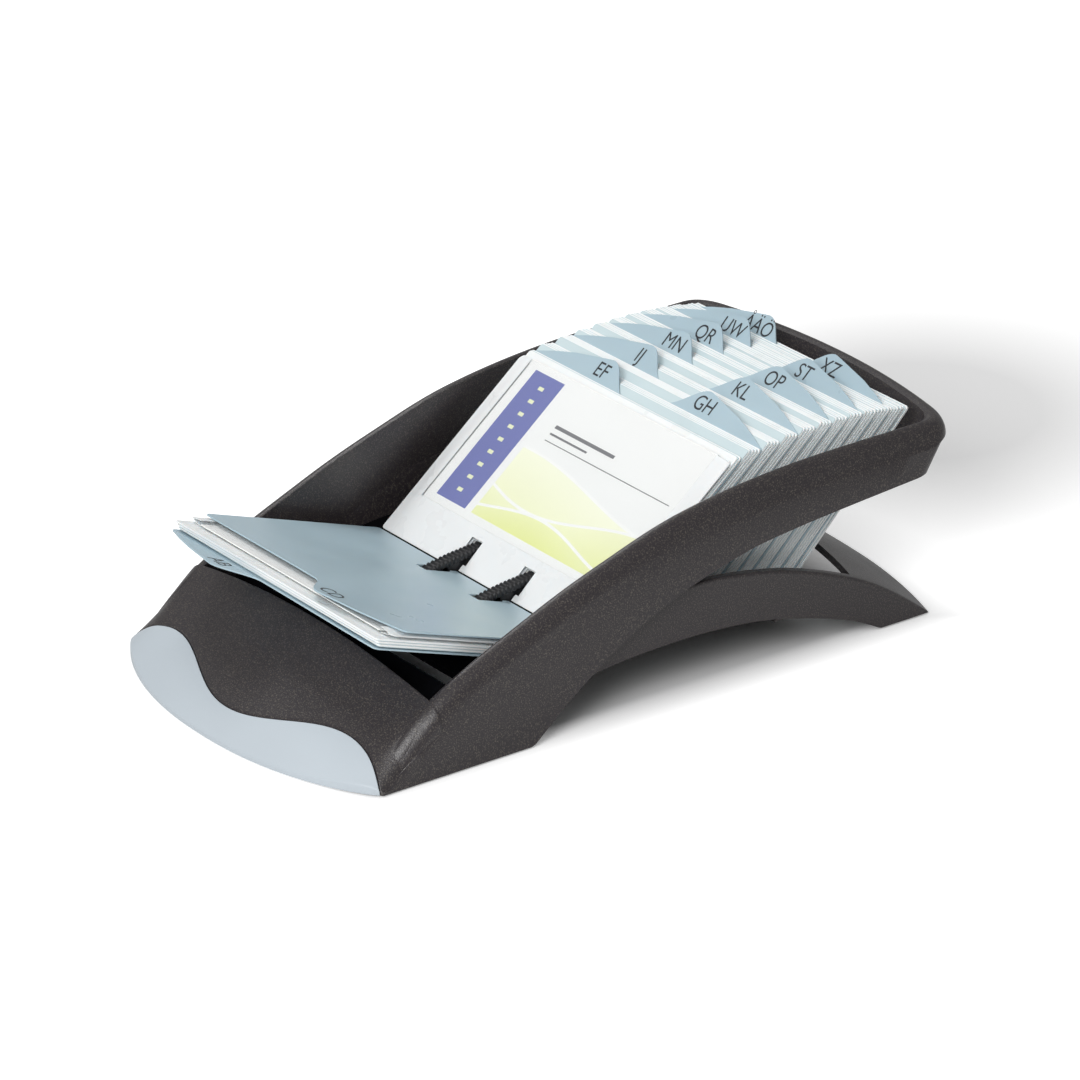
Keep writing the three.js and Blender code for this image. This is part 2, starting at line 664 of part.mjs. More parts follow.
// A clear pocket, open at the top, sealed along its foot and sides
function pocket() {
  const half = LEAF_WIDTH / 2;
  const sleeve = leafPlate(
    rectangle(-half, half, -SHEET_FOOT, LEAF_TOP),
    -POCKET_THICKNESS / 2,
    POCKET_THICKNESS / 2,
  );
  const room = leafPlate(
    rectangle(POCKET_SEAM - half, half - POCKET_SEAM, SLOT_TOP + 1, LEAF_HEIGHT + 5),
    POCKET_FILM - POCKET_THICKNESS / 2,
    POCKET_THICKNESS / 2 - POCKET_FILM,
  );
  return cut(sleeve, [room, ...slotTools(POCKET_THICKNESS)]);
}

function card(face) {
  const middle = (face * (POCKET_THICKNESS / 2 - POCKET_FILM)) / 2;
  const low = SLOT_TOP + 1 + LEAF_GAP / 2;
  return leafPlate(
    rectangle(-CARD_HALF, CARD_HALF, low, low + CARD_HEIGHT),
    middle - CARD_THICKNESS / 2,
    middle + CARD_THICKNESS / 2,
  );
}

// Next turning line along the carrier, at a given distance square to leaves that stand at an angle
function nextPivot(from, distance, angle, direction) {
  let low = 0;
  let high = 30;
  const away = (step) => {
    const y = from.y + direction * step;
    const z = carrierTop(y) + PIVOT_LIFT;
    return Math.abs((y - from.y) * Math.sin(angle) - (z - from.z) * Math.cos(angle));
  };
  for (let i = 0; i < 40; i += 1) {
    const middle = (low + high) / 2;
    if (away(middle) < distance) low = middle;
    else high = middle;
  }
  const y = from.y + direction * low;
  return { y, z: carrierTop(y) + PIVOT_LIFT };
}

const finish = (color, roughness, metalness = 0) => new THREE.MeshStandardMaterial({ color, roughness, metalness });
const charcoal = () => finish(0x2b2725, 0.5);
const paleGrey = () => finish(0xc9d3d8, 0.45);
const railBlack = () => finish(0x171718, 0.6);
const dividerBlue = () => finish(0xb7c9d4, 0.35);
const pocketWhite = () => finish(0xe9f1f3, 0.25);
const cardWhite = () => finish(0xf6f6f0, 0.6);
const rubberGrey = () => finish(0x3a3a3c, 0.9);
const steel = () => finish(0xb9bcc0, 0.3, 1);

const cardFile = new THREE.Group();
cardFile.name = "flip_card_file";

function place(name, body, material, parent = cardFile) {
  const mesh = new THREE.Mesh(surface(body), material);
  mesh.name = name;
  parent.add(mesh);
  return mesh;
}

place("tray_frame", trayFrame(), charcoal());
place("nose_grip", noseGrip(), paleGrey());
place("base_arch", baseArch(), charcoal());
place("rail_carrier", railCarrier(), railBlack());
const SIDES = [
  ["left", -1],
  ["right", 1],
];
SIDES.forEach(([word, side]) => {
  place(`rail_${word}`, rail(side), railBlack());
  place(`foot_front_${word}`, foot(FRONT_FOOT, side), rubberGrey());
  place(`foot_rear_${word}`, foot(REAR_FOOT, side), rubberGrey());
  place(`frame_screw_${word}`, frameScrew(side), steel());
});

// A group standing on a turning line, leaning at an angle above the rear horizon
function leafGroup(pivot, angle) {
  const group = new THREE.Group();
  group.position.set(0, pivot.y, pivot.z);
  group.rotation.x = angle;
  cardFile.add(group);
  return group;
}

// Rear stack, from the pocket in front to the last pack
const LETTERS = ["ef", "gh", "ij", "kl", "mn", "op", "qr", "st", "uw", "xz", "aao"];
const stack = [
  { name: "front_pocket", thickness: POCKET_THICKNESS },
  { name: "pocket_pack_cd", thickness: FIRST_PACK },
  ...LETTERS.flatMap((letters, i) => [
    { name: `divider_${letters}`, thickness: DIVIDER_THICKNESS, side: i % 2 ? 1 : -1 },
    {
      name: `pocket_pack_${letters}`,
      thickness: i === LETTERS.length - 1 ? LAST_PACK : PACK,
    },
  ]),
];

function fillLeaf(leaf, group) {
  if (leaf.name.startsWith("divider")) place(leaf.name, divider(leaf.side), dividerBlue(), group);
  else if (leaf.name.startsWith("pocket_pack")) place(leaf.name, pocketPack(leaf.thickness), pocketWhite(), group);
  else place(leaf.name, pocket(), pocketWhite(), group);
}

let pivot = { y: STACK_FRONT_Y, z: carrierTop(STACK_FRONT_Y) + PIVOT_LIFT };
let lean = radians(STACK_LEAN);
stack.forEach((leaf, i) => {
  if (i > 0) {
    const distance = (stack[i - 1].thickness + leaf.thickness) / 2 + LEAF_GAP + ROOT_SLACK;
    pivot = nextPivot(pivot, distance, lean, 1);
    lean += radians(STACK_FAN);
  }
  const group = leafGroup(pivot, lean);
  fillLeaf(leaf, group);
  if (i === 0) {
    place("card_front", card(1), cardWhite(), group);
    place("card_back", card(-1), cardWhite(), group);
  }
});

// Front pile, from its top sheet down
const pile = [
  { name: "divider_cd", thickness: DIVIDER_THICKNESS, side: 1 },
  { name: "pile_pocket", thickness: POCKET_THICKNESS },
  { name: "pocket_pack_ab", thickness: PILE_PACK },
  { name: "divider_ab", thickness: DIVIDER_THICKNESS, side: -1 },
];
pivot = { y: PILE_FRONT_Y, z: carrierTop(PILE_FRONT_Y) + PIVOT_LIFT };
pile.forEach((leaf, i) => {
  if (i > 0) {
    const distance = (pile[i - 1].thickness + leaf.thickness) / 2 + LEAF_GAP;
    pivot = nextPivot(pivot, distance, Math.PI - radians(PILE_LEAN), -1);
  }
  const group = leafGroup(pivot, Math.PI - radians(PILE_LEAN));
  fillLeaf(leaf, group);
  if (leaf.name === "pile_pocket") place("pile_card", card(1), cardWhite(), group);
});

export default cardFile;
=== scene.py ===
"""Desktop flip card file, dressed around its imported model.

A curved tray crosses an arched stand. Two ribbed rails carry lettered dividers, card pockets and packs
of pockets, which lean to the rear in a stack or lie on the nose in a pile.

Lengths are in millimetres until a mesh is made. X runs across, Y from the nose (-) to the rear (+), Z up.
"""

from __future__ import annotations

import json
import logging
import math
from dataclasses import dataclass, field, replace
from enum import Enum
from typing import Callable, Sequence

import bpy
import numpy as np
from mathutils import Matrix, Vector

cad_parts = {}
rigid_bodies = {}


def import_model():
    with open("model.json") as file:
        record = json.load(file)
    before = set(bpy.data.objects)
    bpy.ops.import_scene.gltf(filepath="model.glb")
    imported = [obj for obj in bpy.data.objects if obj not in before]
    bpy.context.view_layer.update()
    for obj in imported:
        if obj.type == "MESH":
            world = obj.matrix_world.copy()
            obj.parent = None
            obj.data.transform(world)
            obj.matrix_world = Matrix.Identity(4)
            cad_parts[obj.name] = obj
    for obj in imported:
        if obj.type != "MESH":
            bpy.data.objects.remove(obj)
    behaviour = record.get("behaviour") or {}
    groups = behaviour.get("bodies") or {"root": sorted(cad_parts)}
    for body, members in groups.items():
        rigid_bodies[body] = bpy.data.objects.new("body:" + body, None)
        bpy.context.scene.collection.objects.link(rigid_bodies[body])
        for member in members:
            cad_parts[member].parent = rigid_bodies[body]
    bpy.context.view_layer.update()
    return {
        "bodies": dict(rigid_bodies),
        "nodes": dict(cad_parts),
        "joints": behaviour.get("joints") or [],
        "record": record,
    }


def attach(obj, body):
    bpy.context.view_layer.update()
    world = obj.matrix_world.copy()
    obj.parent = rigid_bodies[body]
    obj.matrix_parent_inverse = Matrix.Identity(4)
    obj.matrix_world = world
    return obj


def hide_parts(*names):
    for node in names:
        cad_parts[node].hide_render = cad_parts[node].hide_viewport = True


LOG = logging.getLogger("card_file")
MM = 0.001

BODY_WIDTH = 131.0
BODY_LENGTH = 242.0
WALL_HEIGHT = 63.2
SOLE = 0.6
HALF_WIDTH = BODY_WIDTH / 2
NOSE_Y = -BODY_LENGTH / 2
REAR_Y = BODY_LENGTH / 2

# Degrees between faces past which an edge stays sharp, on a moulding and on a sheet
EDGE_ANGLE = 32.0
SHEET_ANGLE = 40.0

Colour = tuple[float, float, float]
Box = tuple[float, float, float, float]
Array = np.ndarray


class Slot(Enum):
    """Material slots of the record."""

    BODY = "body_plastic"
    GRIP = "grip_plastic"
    RAIL = "rail_plastic"
    DIVIDER = "divider_film"
    POCKET = "pocket_film"
    CARD = "card_board"
    RUBBER = "foot_rubber"
    STEEL = "screw_steel"


class Side(Enum):
    """Left or right of the file, seen from its nose."""

    LEFT = -1
    RIGHT = 1


def along(share: float) -> float:
    """A place along Y from its share of the body's length, counted from the middle."""
    return share * BODY_LENGTH


def smoothstep(values: Array, low: float, high: float) -> Array:
    """The usual smooth step from 0 at low to 1 at high."""
    share = np.clip((np.asarray(values, float) - low) / (high - low), 0, 1)
    return share * share * (3 - 2 * share)


def quarter_round(places: Array, limit: float | Array, radius: float | Array) -> Array:
    """How far a quarter circle drops at places on its way to a limit: nothing up to a radius before it, then
    radius * (1 - sqrt(1 - share^2)) at a share of the radius.

    Args:
        places: Places, on either side of the middle line.
        limit: Where the quarter circle ends.
        radius: Its radius.

    Returns:
        The drop.
    """
    past = np.clip((np.abs(places) - (limit - radius)) / radius, 0, 1)
    return radius * (1 - np.sqrt(1 - past**2))


class Profile:
    """A smooth side curve through points given in shares of the length and the wall height."""

    STEPS = 60

    def __init__(self, *points: tuple[float, float]) -> None:
        """Samples a uniform Catmull-Rom curve: each span is a cubic that leaves and arrives along half
        the chord between its neighbours.

        Args:
            points: Pairs of a share of the body's length and a share of the wall's height.
        """
        knots = np.array(points) * (BODY_LENGTH, WALL_HEIGHT)
        self.places, self.heights = catmull_rom(knots, self.STEPS).T

    def __call__(self, y: Array) -> Array:
        """Height of the curve at places along Y."""
        return np.interp(y, self.places, self.heights)


def catmull_rom(knots: Array, per_span: int) -> Array:
    """Points on a uniform Catmull-Rom curve, a cubic for each span between neighbouring knots.

    Args:
        knots: The points passed through, along the first axis.
        per_span: Steps in each span.

    Returns:
        The curve's points along the first axis, ends included.
    """
    padded = np.concatenate([knots[:1], knots, knots[-1:]])
    before, start, end, after = padded[:-3], padded[1:-2], padded[2:-1], padded[3:]
    t = np.linspace(0, 1, per_span, endpoint=False).reshape((1, -1) + (1,) * (knots.ndim - 1))
    before, start, end, after = (part[:, None] for part in (before, start, end, after))
    leave, arrive = (end - before) / 2, (after - start) / 2
    cubic = (
        (2 * start - 2 * end + leave + arrive) * t**3
        + (3 * end - 3 * start - 2 * leave - arrive) * t**2
        + leave * t
        + start
    )
    return np.concatenate([cubic.reshape((-1,) + knots.shape[1:]), knots[-1:]])


ARM_TOP = Profile(
    (-0.4174, 0.07), (-0.3306, 0.361), (-0.1818, 0.633), (-0.0727, 0.791), (0.0413, 0.918), (0.1983, 0.99), (0.413, 1)
)
ARM_FOOT = Profile(
    (-0.1942, 0.009), (-0.1384, 0.187), (-0.064, 0.38), (0.0207, 0.538), (0.12, 0.652), (0.215, 0.706), (0.413, 0.767)
)
STAND_TOP = Profile(
    (-0.325, 0.089), (-0.1653, 0.399), (-0.0537, 0.498), (0.0537, 0.557), (0.1405, 0.525),
    (0.2231, 0.451), (0.3182, 0.31), (0.3843, 0.161), (0.4442, -0.013),
)
STAND_UNDER = Profile(
    (-0.2975, -0.016), (-0.2314, 0.111), (-0.1033, 0.255), (0.0331, 0.29), (0.1434, 0.266),
    (0.2231, 0.204), (0.3058, 0.106), (0.3678, -0.013),
)
STAND_HALF = HALF_WIDTH - 2.3
STAND_SKIN = 2.4
BOW_DEPTH = 11.5
BOW_SPAN = (along(0.02), along(0.31))
PLATE_REAR = along(-0.33)
FOOT_X = HALF_WIDTH - 19.5
SCREW_Y = PLATE_REAR + 8.5
CARRIER_THICKNESS = 1.8
SEAT_GAP = 0.3
TURN_LIFT = 2.4
WELL_LEDGE = 7.7
LEAF_PLAY = 3.5
LEAF_HALF = STAND_HALF - WELL_LEDGE - LEAF_PLAY
SEARCH_STEP = 0.001
SEARCH_STEPS = 30001
RAIL_X = 2 * LEAF_HALF * 0.129


def carrier_top(y: Array) -> Array:
    """Height of the rail carrier's upper face at places along Y."""
    return STAND_UNDER(y) + SEAT_GAP + CARRIER_THICKNESS


def stand_bow(x: Array, y: Array) -> Array:
    """How far the stand bows to the rear: full on the middle line, none at the sides, and growing from
    none under the stack to its full depth behind it."""
    return BOW_DEPTH * (1 - (np.asarray(x) / STAND_HALF) ** 2) * smoothstep(y, *BOW_SPAN)


@dataclass
class Shell:
    """A closed surface: points in millimetres, quads, and polygons for its flat ends."""

    points: Array
    quads: Array
    polygons: list[list[int]] = field(default_factory=list)

    def outward(self) -> "Shell":
        """The same shell with its faces turned outwards, judged by the sign of its volume: a sum over
        triangles of the box product of their corners."""
        fans = [self.quads[:, [0, 1, 2]], self.quads[:, [0, 2, 3]]]
        for polygon in self.polygons:
            ring = np.array(polygon)
            fans.append(np.stack([np.full(len(ring) - 2, ring[0]), ring[1:-1], ring[2:]], axis=1))
        a, b, c = (self.points[np.concatenate(fans)][:, k] for k in range(3))
        if np.einsum("ij,ij->", a, np.cross(b, c)) >= 0:
            return self
        return Shell(self.points, self.quads[:, ::-1], [polygon[::-1] for polygon in self.polygons])


def join(shells: list[Shell]) -> Shell:
    """One shell that holds several, in their order."""
    starts = np.cumsum([0] + [len(shell.points) for shell in shells[:-1]])
    return Shell(
        np.concatenate([shell.points for shell in shells]),
        np.concatenate([shell.quads + start for shell, start in zip(shells, starts)]),
        [[corner + int(start) for corner in polygon]
         for shell, start in zip(shells, starts) for polygon in shell.polygons],
    )


def tube(rings: Array) -> Shell:
    """A closed shell through closed rings of one count, with flat ends.

    Args:
        rings: Points in the shape (ring, corner, 3). Face (i, k) joins corners k and k + 1 of rings i and
            i + 1.

    Returns:
        The shell, its faces outwards.
    """
    count, corners = rings.shape[:2]
    index = np.arange(count * corners).reshape(count, corners)
    following = np.roll(index, -1, axis=1)
    quads = np.stack([index[:-1], following[:-1], following[1:], index[1:]], axis=-1).reshape(-1, 4)
    ends = [index[0][::-1].tolist(), index[-1].tolist()]
    return Shell(rings.reshape(-1, 3), quads, ends).outward()


def slab(front: Array, back: Array, keep: Array | None = None) -> Shell:
    """A closed shell between two faces on one grid, with a wall round every kept cell's free edge.

    Args:
        front: The front face's points in the shape (column, row, 3).
        back: The back face's points, in the same shape.
        keep: Which cells are there, one fewer each way than the points; all when left out.

    Returns:
        The shell. Its front cells come first among its quads.
    """
    columns, rows = front.shape[:2]
    if keep is None:
        keep = np.ones((columns - 1, rows - 1), bool)
    near = np.arange(columns * rows).reshape(columns, rows)
    far = near + columns * rows
    faces = [
        np.stack([near[:-1, :-1], near[1:, :-1], near[1:, 1:], near[:-1, 1:]], axis=-1)[keep],
        np.stack([far[:-1, :-1], far[:-1, 1:], far[1:, 1:], far[1:, :-1]], axis=-1)[keep],
    ]
    padded = np.pad(keep, 1)
    edges = (
        (~padded[:-2, 1:-1], near[:-1, 1:], near[:-1, :-1]),
        (~padded[2:, 1:-1], near[1:, :-1], near[1:, 1:]),
        (~padded[1:-1, :-2], near[:-1, :-1], near[1:, :-1]),
        (~padded[1:-1, 2:], near[1:, 1:], near[:-1, 1:]),
    )
    for free, start, end in edges:
        shown = keep & free
        faces.append(np.stack([start, start + columns * rows, end + columns * rows, end], axis=-1)[shown])
    return Shell(np.concatenate([front.reshape(-1, 3), back.reshape(-1, 3)]), np.concatenate(faces)).outward()


def turned(profile: list[tuple[float, float]], centre: tuple[float, float], sides: int) -> Shell:
    """A turned part on an upright axis: each (radius, height) of the profile is carried round it.

    Args:
        profile: Radius and height from the foot to the head; both ends lie on or near the axis.
        centre: Place of the axis in plan.
        sides: Steps round the axis.

    Returns:
        The shell, closed at both ends.
    """
    turn = np.linspace(0, 2 * math.pi, sides, endpoint=False)
    radius, height = (np.array(values)[:, None] for values in zip(*profile))
    x, y = centre[0] + radius * np.cos(turn), centre[1] + radius * np.sin(turn)
    return tube(np.stack([x, y, np.broadcast_to(height, x.shape)], axis=-1))


def block(x: tuple[float, float], y: tuple[float, float], z: tuple[float, float]) -> Shell:
    """A hidden rectangular ledge or tab between three pairs of limits."""
    xs, ys = np.meshgrid(x, y, indexing="ij")
    return slab(*(np.stack([xs, ys, np.full_like(xs, level)], axis=-1) for level in (z[1], z[0])))


def add_object(name: str, data: bpy.types.ID) -> bpy.types.Object:
    """Puts a new object of a mesh, text, lamp or camera into the scene."""
    piece = bpy.data.objects.new(name, data)
    bpy.context.scene.collection.objects.link(piece)
    return piece


def smooth(mesh: bpy.types.Mesh, sharp: float) -> None:
    """Shades a mesh smooth but for edges sharper than an angle in degrees."""
    mesh.shade_smooth()
    mesh.set_sharp_from_angle(angle=math.radians(sharp))


def worked_out(piece: bpy.types.Object) -> bpy.types.Mesh:
    """A new mesh of what an object shows, with its modifier or text worked out."""
    graph = bpy.context.evaluated_depsgraph_get()
    return bpy.data.meshes.new_from_object(piece.evaluated_get(graph))


def mesh_object(name: str, shell: Shell, finishes: Sequence[bpy.types.Material] = (),
                sharp: float = EDGE_ANGLE) -> bpy.types.Object:
    """Makes an object of a shell, smooth but for its sharp edges.

    Args:
        name: The object's name.
        shell: What to make, in millimetres.
        finishes: Its materials in order.
        sharp: Degrees between faces past which an edge stays sharp.

    Returns:
        The object, at the origin, with its place in its mesh.
    """
    mesh = bpy.data.meshes.new(name)
    mesh.from_pydata((shell.points * MM).tolist(), [], shell.quads.tolist() + shell.polygons)
    mesh.update()
    smooth(mesh, sharp)
    for finish in finishes:
        mesh.materials.append(finish)
    return add_object(name, mesh)


def cut(piece: bpy.types.Object, tool: Shell) -> None:
    """Takes a closed shell out of a closed piece's mesh."""
    cutter = mesh_object("cutter", tool)
    modifier = piece.modifiers.new("cut", "BOOLEAN")
    modifier.operation = "DIFFERENCE"
    modifier.solver = "EXACT"
    modifier.object = cutter
    mesh = worked_out(piece)
    piece.modifiers.clear()
    piece.data = mesh
    smooth(mesh, EDGE_ANGLE)
    bpy.data.objects.remove(cutter)


def dress(piece: bpy.types.Object, body: str, slot: Slot, *nodes: str) -> None:
    """Sets a piece on its body, hides the nodes it stands for, and reports it.

    Args:
        piece: The finished piece.
        body: The body it rides on.
        slot: The record's slot of its finish; not used.
        nodes: CAD nodes that it replaces.
    """
    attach(piece, body)
    if nodes:
        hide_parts(*nodes)
    LOG.info("%s: %d faces on %s", piece.name, len(piece.data.polygons), body)


class Tree:
    """Adds nodes to a material or a node group, and links them."""

    def __init__(self, tree: bpy.types.NodeTree) -> None:
        """Starts on a node tree."""
        self.tree = tree

    def add(self, kind: str, inputs: dict | None = None, **settings: object) -> bpy.types.Node:
        """Adds a node.

        Args:
            kind: The node's type.
            inputs: Values or sockets for its inputs, by name or number.
            settings: Its own settings.

        Returns:
            The node.
        """
        node = self.tree.nodes.new(kind)
        for name, value in settings.items():
            setattr(node, name, value)
        for name, value in (inputs or {}).items():
            if isinstance(value, bpy.types.NodeSocket):
                self.link(value, node.inputs[name])
            else:
                node.inputs[name].default_value = value
        return node

    def link(self, source: bpy.types.NodeSocket, target: bpy.types.NodeSocket) -> None:
        """Links an output to an input."""
        self.tree.links.new(source, target)

    def math(self, operation: str, first: object, second: object = 0.0) -> bpy.types.NodeSocket:
        """The result of a Math node on two values or sockets."""
        return self.add("ShaderNodeMath", {0: first, 1: second}, operation=operation).outputs[0]

    def mix(self, factor: object, first: object, second: object) -> bpy.types.NodeSocket:
        """The colour between two colours at a factor."""
        return self.add("ShaderNodeMix", {"Factor": factor, 6: first, 7: second}, data_type="RGBA").outputs[2]

    def range(self, value: object, low: float, high: float, to: tuple[float, float] = (0, 1)) -> bpy.types.NodeSocket:
        """A value mapped from one range to another and held within it."""
        inputs = {"Value": value, "From Min": low, "From Max": high, "To Min": to[0], "To Max": to[1]}
        return self.add("ShaderNodeMapRange", inputs).outputs[0]


def new_group(name: str, inputs: list[tuple[str, str]], outputs: list[tuple[str, str]]) -> tuple:
    """Makes an empty shader node group with named sockets.

    Args:
        name: Its name.
        inputs: Names and kinds of its inputs, such as ("Scale", "Float").
        outputs: The same of its outputs.

    Returns:
        The group, a Tree on it, and its input and output nodes.
    """
    group = bpy.data.node_groups.new(name, "ShaderNodeTree")
    for way, sockets in (("INPUT", inputs), ("OUTPUT", outputs)):
        for socket, kind in sockets:
            group.interface.new_socket(socket, in_out=way, socket_type=f"NodeSocket{kind}")
    tree = Tree(group)
    return group, tree, tree.add("NodeGroupInput"), tree.add("NodeGroupOutput")


class SharedEffects:
    """Node groups that several finishes place with their own values."""

    COARSE_SCALE = 0.37
    COARSE_SHARE = 0.6
    PEAK_RANGE = (0.53, 0.68)

    def __init__(self) -> None:
        """Builds each group once."""
        self.grain = self.make_grain()
        self.tone = self.make_tone()

    def make_grain(self) -> bpy.types.NodeTree:
        """A spark-eroded grain: fine noise over coarser noise, as a height and as a mask of the peaks."""
        group, tree, given, result = new_group(
            "mould_grain", [("Vector", "Vector"), ("Scale", "Float")], [("Height", "Float"), ("Peaks", "Float")]
        )
        place, scale = given.outputs[:2]
        fine = tree.add("ShaderNodeTexNoise", {"Vector": place, "Scale": scale, "Detail": 2.0}).outputs[0]
        coarse_scale = tree.math("MULTIPLY", scale, self.COARSE_SCALE)
        coarse = tree.add("ShaderNodeTexNoise", {"Vector": place, "Scale": coarse_scale, "Detail": 1.0}).outputs[0]
        height = tree.math("ADD", fine, tree.math("MULTIPLY", coarse, self.COARSE_SHARE))
        tree.link(height, result.inputs[0])
        tree.link(tree.range(fine, *self.PEAK_RANGE), result.inputs[1])
        return group

    @staticmethod
    def make_tone() -> bpy.types.NodeTree:
        """Soft clouds that lighten and darken a colour a little, as handling and moulding do."""
        group, tree, given, result = new_group(
            "soft_tone", [("Colour", "Color"), ("Vector", "Vector"), ("Scale", "Float"), ("Amount", "Float")],
            [("Colour", "Color"), ("Cloud", "Float")],
        )
        colour, place, scale, amount = given.outputs[:4]
        cloud = tree.add("ShaderNodeTexNoise", {"Vector": place, "Scale": scale, "Detail": 3.0}).outputs[0]
        bright = tree.math("ADD", tree.math("MULTIPLY", tree.math("SUBTRACT", cloud, 0.5), amount), 1.0)
        scaled = tree.add("ShaderNodeVectorMath", {0: colour, "Scale": bright}, operation="SCALE")
        tree.link(scaled.outputs[0], result.inputs[0])
        tree.link(cloud, result.inputs[1])
        return group


@dataclass(frozen=True)
class Finish:
    """A surface finish: a plain colour, toned by clouds and broken by grain. Sizes are in millimetres."""

    name: str
    colour: Colour
    roughness: float
    grain_size: float = 0.5
    grain_depth: float = 0.0
    peak_colour: Colour | None = None
    rough_spread: float = 0.08
    tone_size: float = 30.0
    tone_amount: float = 0.1
    metallic: float = 0.0
    specular: float = 0.5
    alpha: float = 1.0
    translucence: float = 0.0
    scatter: Colour = (0.6, 0.8, 1.0)
    cloud_range: tuple[float, float] = (0.3, 0.7)

    def build(self, effects: SharedEffects) -> bpy.types.Material:
        """Makes the material.

        Args:
            effects: The shared node groups.

        Returns:
            The material.
        """
        material = bpy.data.materials.new(self.name)
        material.use_nodes = True
        tree = Tree(material.node_tree)
        shader = material.node_tree.nodes["Principled BSDF"]
        place = tree.add("ShaderNodeTexCoord").outputs["Object"]
        scale = 1 / (self.grain_size * MM)
        grain = tree.add("ShaderNodeGroup", {"Vector": place, "Scale": scale}, node_tree=effects.grain)
        colour = self.paint(tree, place)
        if self.peak_colour:
            colour = tree.mix(grain.outputs["Peaks"], colour, (*self.peak_colour, 1))
        clouds = {"Colour": colour, "Vector": place, "Scale": 1 / (self.tone_size * MM), "Amount": self.tone_amount}
        tone = tree.add("ShaderNodeGroup", clouds, node_tree=effects.tone)
        tree.link(tone.outputs["Colour"], shader.inputs["Base Color"])
        spread = (self.roughness - self.rough_spread, self.roughness + self.rough_spread)
        tree.link(tree.range(tone.outputs["Cloud"], *self.cloud_range, spread), shader.inputs["Roughness"])
        if self.grain_depth:
            relief = {"Height": grain.outputs["Height"], "Distance": self.grain_depth * MM, "Strength": 1.0}
            tree.link(tree.add("ShaderNodeBump", relief).outputs[0], shader.inputs["Normal"])
        for socket, value in (
            ("Metallic", self.metallic), ("Specular IOR Level", self.specular), ("Alpha", self.alpha),
            ("Subsurface Weight", self.translucence), ("Subsurface Radius", self.scatter), ("Subsurface Scale", MM),
        ):
            shader.inputs[socket].default_value = value
        return material

    def paint(self, tree: Tree, place: bpy.types.NodeSocket) -> bpy.types.NodeSocket:
        """The colour before grain and clouds, from object coordinates: here the plain colour everywhere."""
        return tree.mix(0.0, (*self.colour, 1), (*self.colour, 1))


@dataclass(frozen=True)
class Hill:
    """A printed hill: a sine line over the card's map, with the strength of the lime under it."""

    base: float
    height: float
    waves: float
    phase: float
    strength: float


